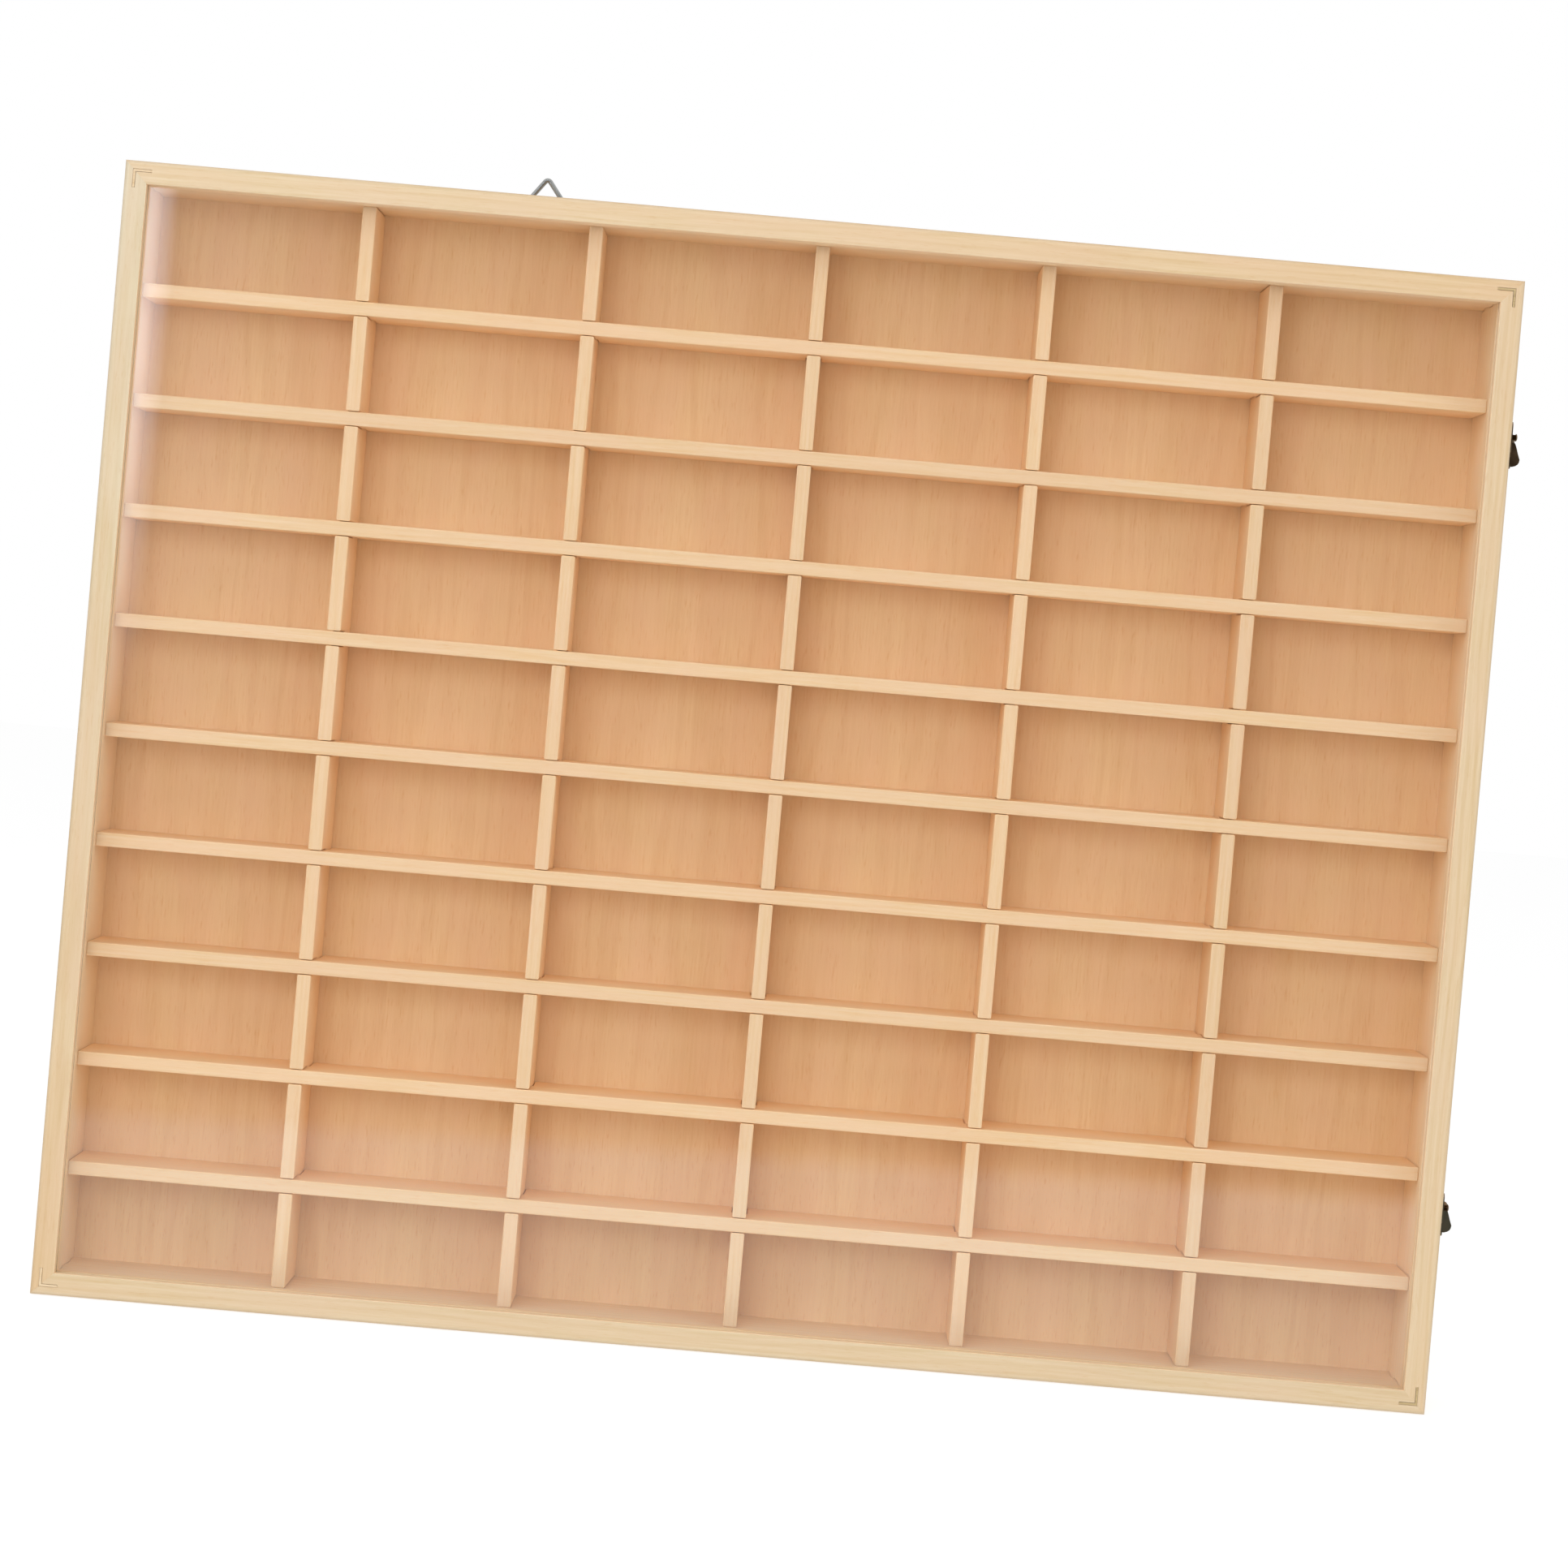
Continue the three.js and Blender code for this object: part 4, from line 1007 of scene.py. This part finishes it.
# %% Floor
# In metres: where the paper ends before the case, how askew its edge runs and how softly it fades
FLOOR_REACH = 8.0
PAPER_EDGE = -0.677
PAPER_SKEW = 0.183
PAPER_CURL = 0.05
PAPER_DARK, PAPER_BRIGHT = 0.01, 0.93
FLOOR_GLOW = 0.755

paper, paper_tree = new_material("white_paper")
paper_rays = add(paper_tree, "ShaderNodeLightPath").outputs
paper_sheet = add(paper_tree, "ShaderNodeBsdfDiffuse", {"Color": linear("#A8A8A8")})
glow = add(paper_tree, "ShaderNodeEmission", {"Color": linear("#FFFFFF"), "Strength": FLOOR_GLOW})
seen_paper = add(paper_tree, "ShaderNodeAddShader", {0: paper_sheet, 1: glow})
paper_place = add(paper_tree, "ShaderNodeTexCoord").outputs["Object"]
paper_axes = add(paper_tree, "ShaderNodeSeparateXYZ", {"Vector": paper_place}).outputs
sideways = add(paper_tree, "ShaderNodeMath", {0: paper_axes["X"], 1: PAPER_SKEW}, operation="MULTIPLY")
skewed = add(paper_tree, "ShaderNodeMath", {0: paper_axes["Y"], 1: sideways}, operation="ADD")
paper_share = add(paper_tree, "ShaderNodeMapRange", {
    "Value": skewed, "From Min": PAPER_EDGE - PAPER_CURL, "From Max": PAPER_EDGE + PAPER_CURL,
    "To Min": PAPER_DARK, "To Max": PAPER_BRIGHT,
})
cool = add(paper_tree, "ShaderNodeEmission", {"Color": linear("#A0D6F5"), "Strength": paper_share})
looked_at = add(paper_tree, "ShaderNodeMath", {
    0: paper_rays["Is Camera Ray"], 1: straight_through(paper_tree),
}, operation="MAXIMUM")
behind = add(paper_tree, "ShaderNodeMath", {0: paper_axes["Y"], 1: DOOR_FRONT}, operation="GREATER_THAN")
plain = add(paper_tree, "ShaderNodeMath", {0: looked_at, 1: behind}, operation="MAXIMUM")
shown_paper = add(paper_tree, "ShaderNodeMixShader", {0: plain, 1: cool, 2: seen_paper})
add(paper_tree, "ShaderNodeOutputMaterial", {"Surface": shown_paper})
floor_corners = [(x * FLOOR_REACH, y * FLOOR_REACH, 0) for x, y in ((-1, -1), (1, -1), (1, 1), (-1, 1))]
card("floor", floor_corners, paper, camera=True)
print("floor:", 2 * FLOOR_REACH, "m wide")

# %% What the acrylic mirrors
# In metres, X to the viewer's right, Y away from the viewer and Z up
ROOM_Y = -2.3
ROOM_SIDE = 1.3
ROOM_FOOT, ROOM_TOP = -1.6, 1.3
WINDOW_Y = -1.53
WINDOW_LEFT, WINDOW_TOP = -0.9, 0.8
WINDOW_EDGE = -0.455
WINDOW_SOFTNESS = 0.008
WINDOW_FOOT = 0.18
WINDOW_FULL = 0.42
WINDOW_GLOW = 4.2
CURTAIN_EDGE = -0.30
CURTAIN_FOOT = 0.02
CURTAIN_FULL = 0.30
CURTAIN_GLOW = 0.55

dark_room, dark_tree = new_material("dark_room")
close_mirrored(dark_tree, add(dark_tree, "ShaderNodeEmission", {"Color": linear("#161616")}))
card("room_behind_camera", rectangle(-ROOM_SIDE, ROOM_SIDE, ROOM_FOOT, ROOM_TOP, ROOM_Y), dark_room)

# Daylight from a window is bluer than the lamps, and its lower part is screened. The curtain that
# hangs beside it glows faintly and fades towards the room
window, window_tree = new_material("window_daylight")
spot = add(window_tree, "ShaderNodeTexCoord").outputs["Object"]
window_axes = add(window_tree, "ShaderNodeSeparateXYZ", {"Vector": spot}).outputs


def window_glow(foot, full, dark_side, bright_side, colour, strength):
    """Light that rises from foot to full height and fades from the bright side to the dark one."""
    rising = add(window_tree, "ShaderNodeMapRange", {
        "Value": window_axes["Z"], "From Min": foot, "From Max": full,
    })
    fading = add(window_tree, "ShaderNodeMapRange", {
        "Value": window_axes["X"], "From Min": dark_side, "From Max": bright_side,
    })
    shape = add(window_tree, "ShaderNodeMath", {0: rising, 1: fading}, operation="MULTIPLY")
    power = add(window_tree, "ShaderNodeMath", {0: shape, 1: strength}, operation="MULTIPLY")
    return add(window_tree, "ShaderNodeEmission", {"Color": linear(colour), "Strength": power})


pane_light = window_glow(
    WINDOW_FOOT, WINDOW_FULL, WINDOW_EDGE + WINDOW_SOFTNESS, WINDOW_EDGE - WINDOW_SOFTNESS,
    "#EDF1FF", WINDOW_GLOW)
curtain_light = window_glow(CURTAIN_FOOT, CURTAIN_FULL, CURTAIN_EDGE, WINDOW_EDGE, "#B4E6F5", CURTAIN_GLOW)
both_lights = add(window_tree, "ShaderNodeAddShader", {0: pane_light, 1: curtain_light})
close_mirrored(window_tree, both_lights)
card("window", rectangle(WINDOW_LEFT, CURTAIN_EDGE, CURTAIN_FOOT, WINDOW_TOP, WINDOW_Y), window)
print("mirrored:", dark_room.name, window.name)

# %% Lamps
# Azimuth and height in degrees, size in metres, watts, colour and distance. The key from the upper
# left shades the compartments, the fill beside the lens reaches their backs, the two side boxes light
# their walls, and the last one is the light that a pale table throws back. Key and fill stand near,
# so the lower right corner gets a little less than the upper left one
LAMPS = {
    "key": (20, 30, 1.4, 7.5, "#F6F8FF", 1.7),
    "fill": (10, 10, 0.7, 8.6, "#FFFFFF", 2.2),
    "left_box": (52, 18, 3.0, 20, "#FFFFFF", 4.0),
    "right_box": (-52, 18, 3.0, 40, "#FFFFFF", 4.0),
    "table_bounce": (0, -45, 1.3, 7.5, "#FFF8F0", 1.7),
}


def soft_light(name, azimuth, height, size, watts, colour, distance):
    """A square lamp that looks at the middle of the door. Azimuth turns to the viewer's left."""
    lamp = bpy.data.objects.new(name, bpy.data.lights.new(name, "AREA"))
    lamp.data.size, lamp.data.energy, lamp.data.color = size, watts, linear(colour)[:3]
    azimuth, height = math.radians(azimuth), math.radians(height)
    level = math.cos(height)
    away = Vector((-math.sin(azimuth) * level, -math.cos(azimuth) * level, math.sin(height)))
    lamp.location = door_middle + away * distance
    lamp.rotation_euler = away.to_track_quat("Z", "Y").to_euler()
    lamp.visible_glossy = False
    lamp.visible_transmission = False
    scene.collection.objects.link(lamp)


for name, settings in LAMPS.items():
    soft_light(name, *settings)
print("lamps:", len(bpy.data.lights))
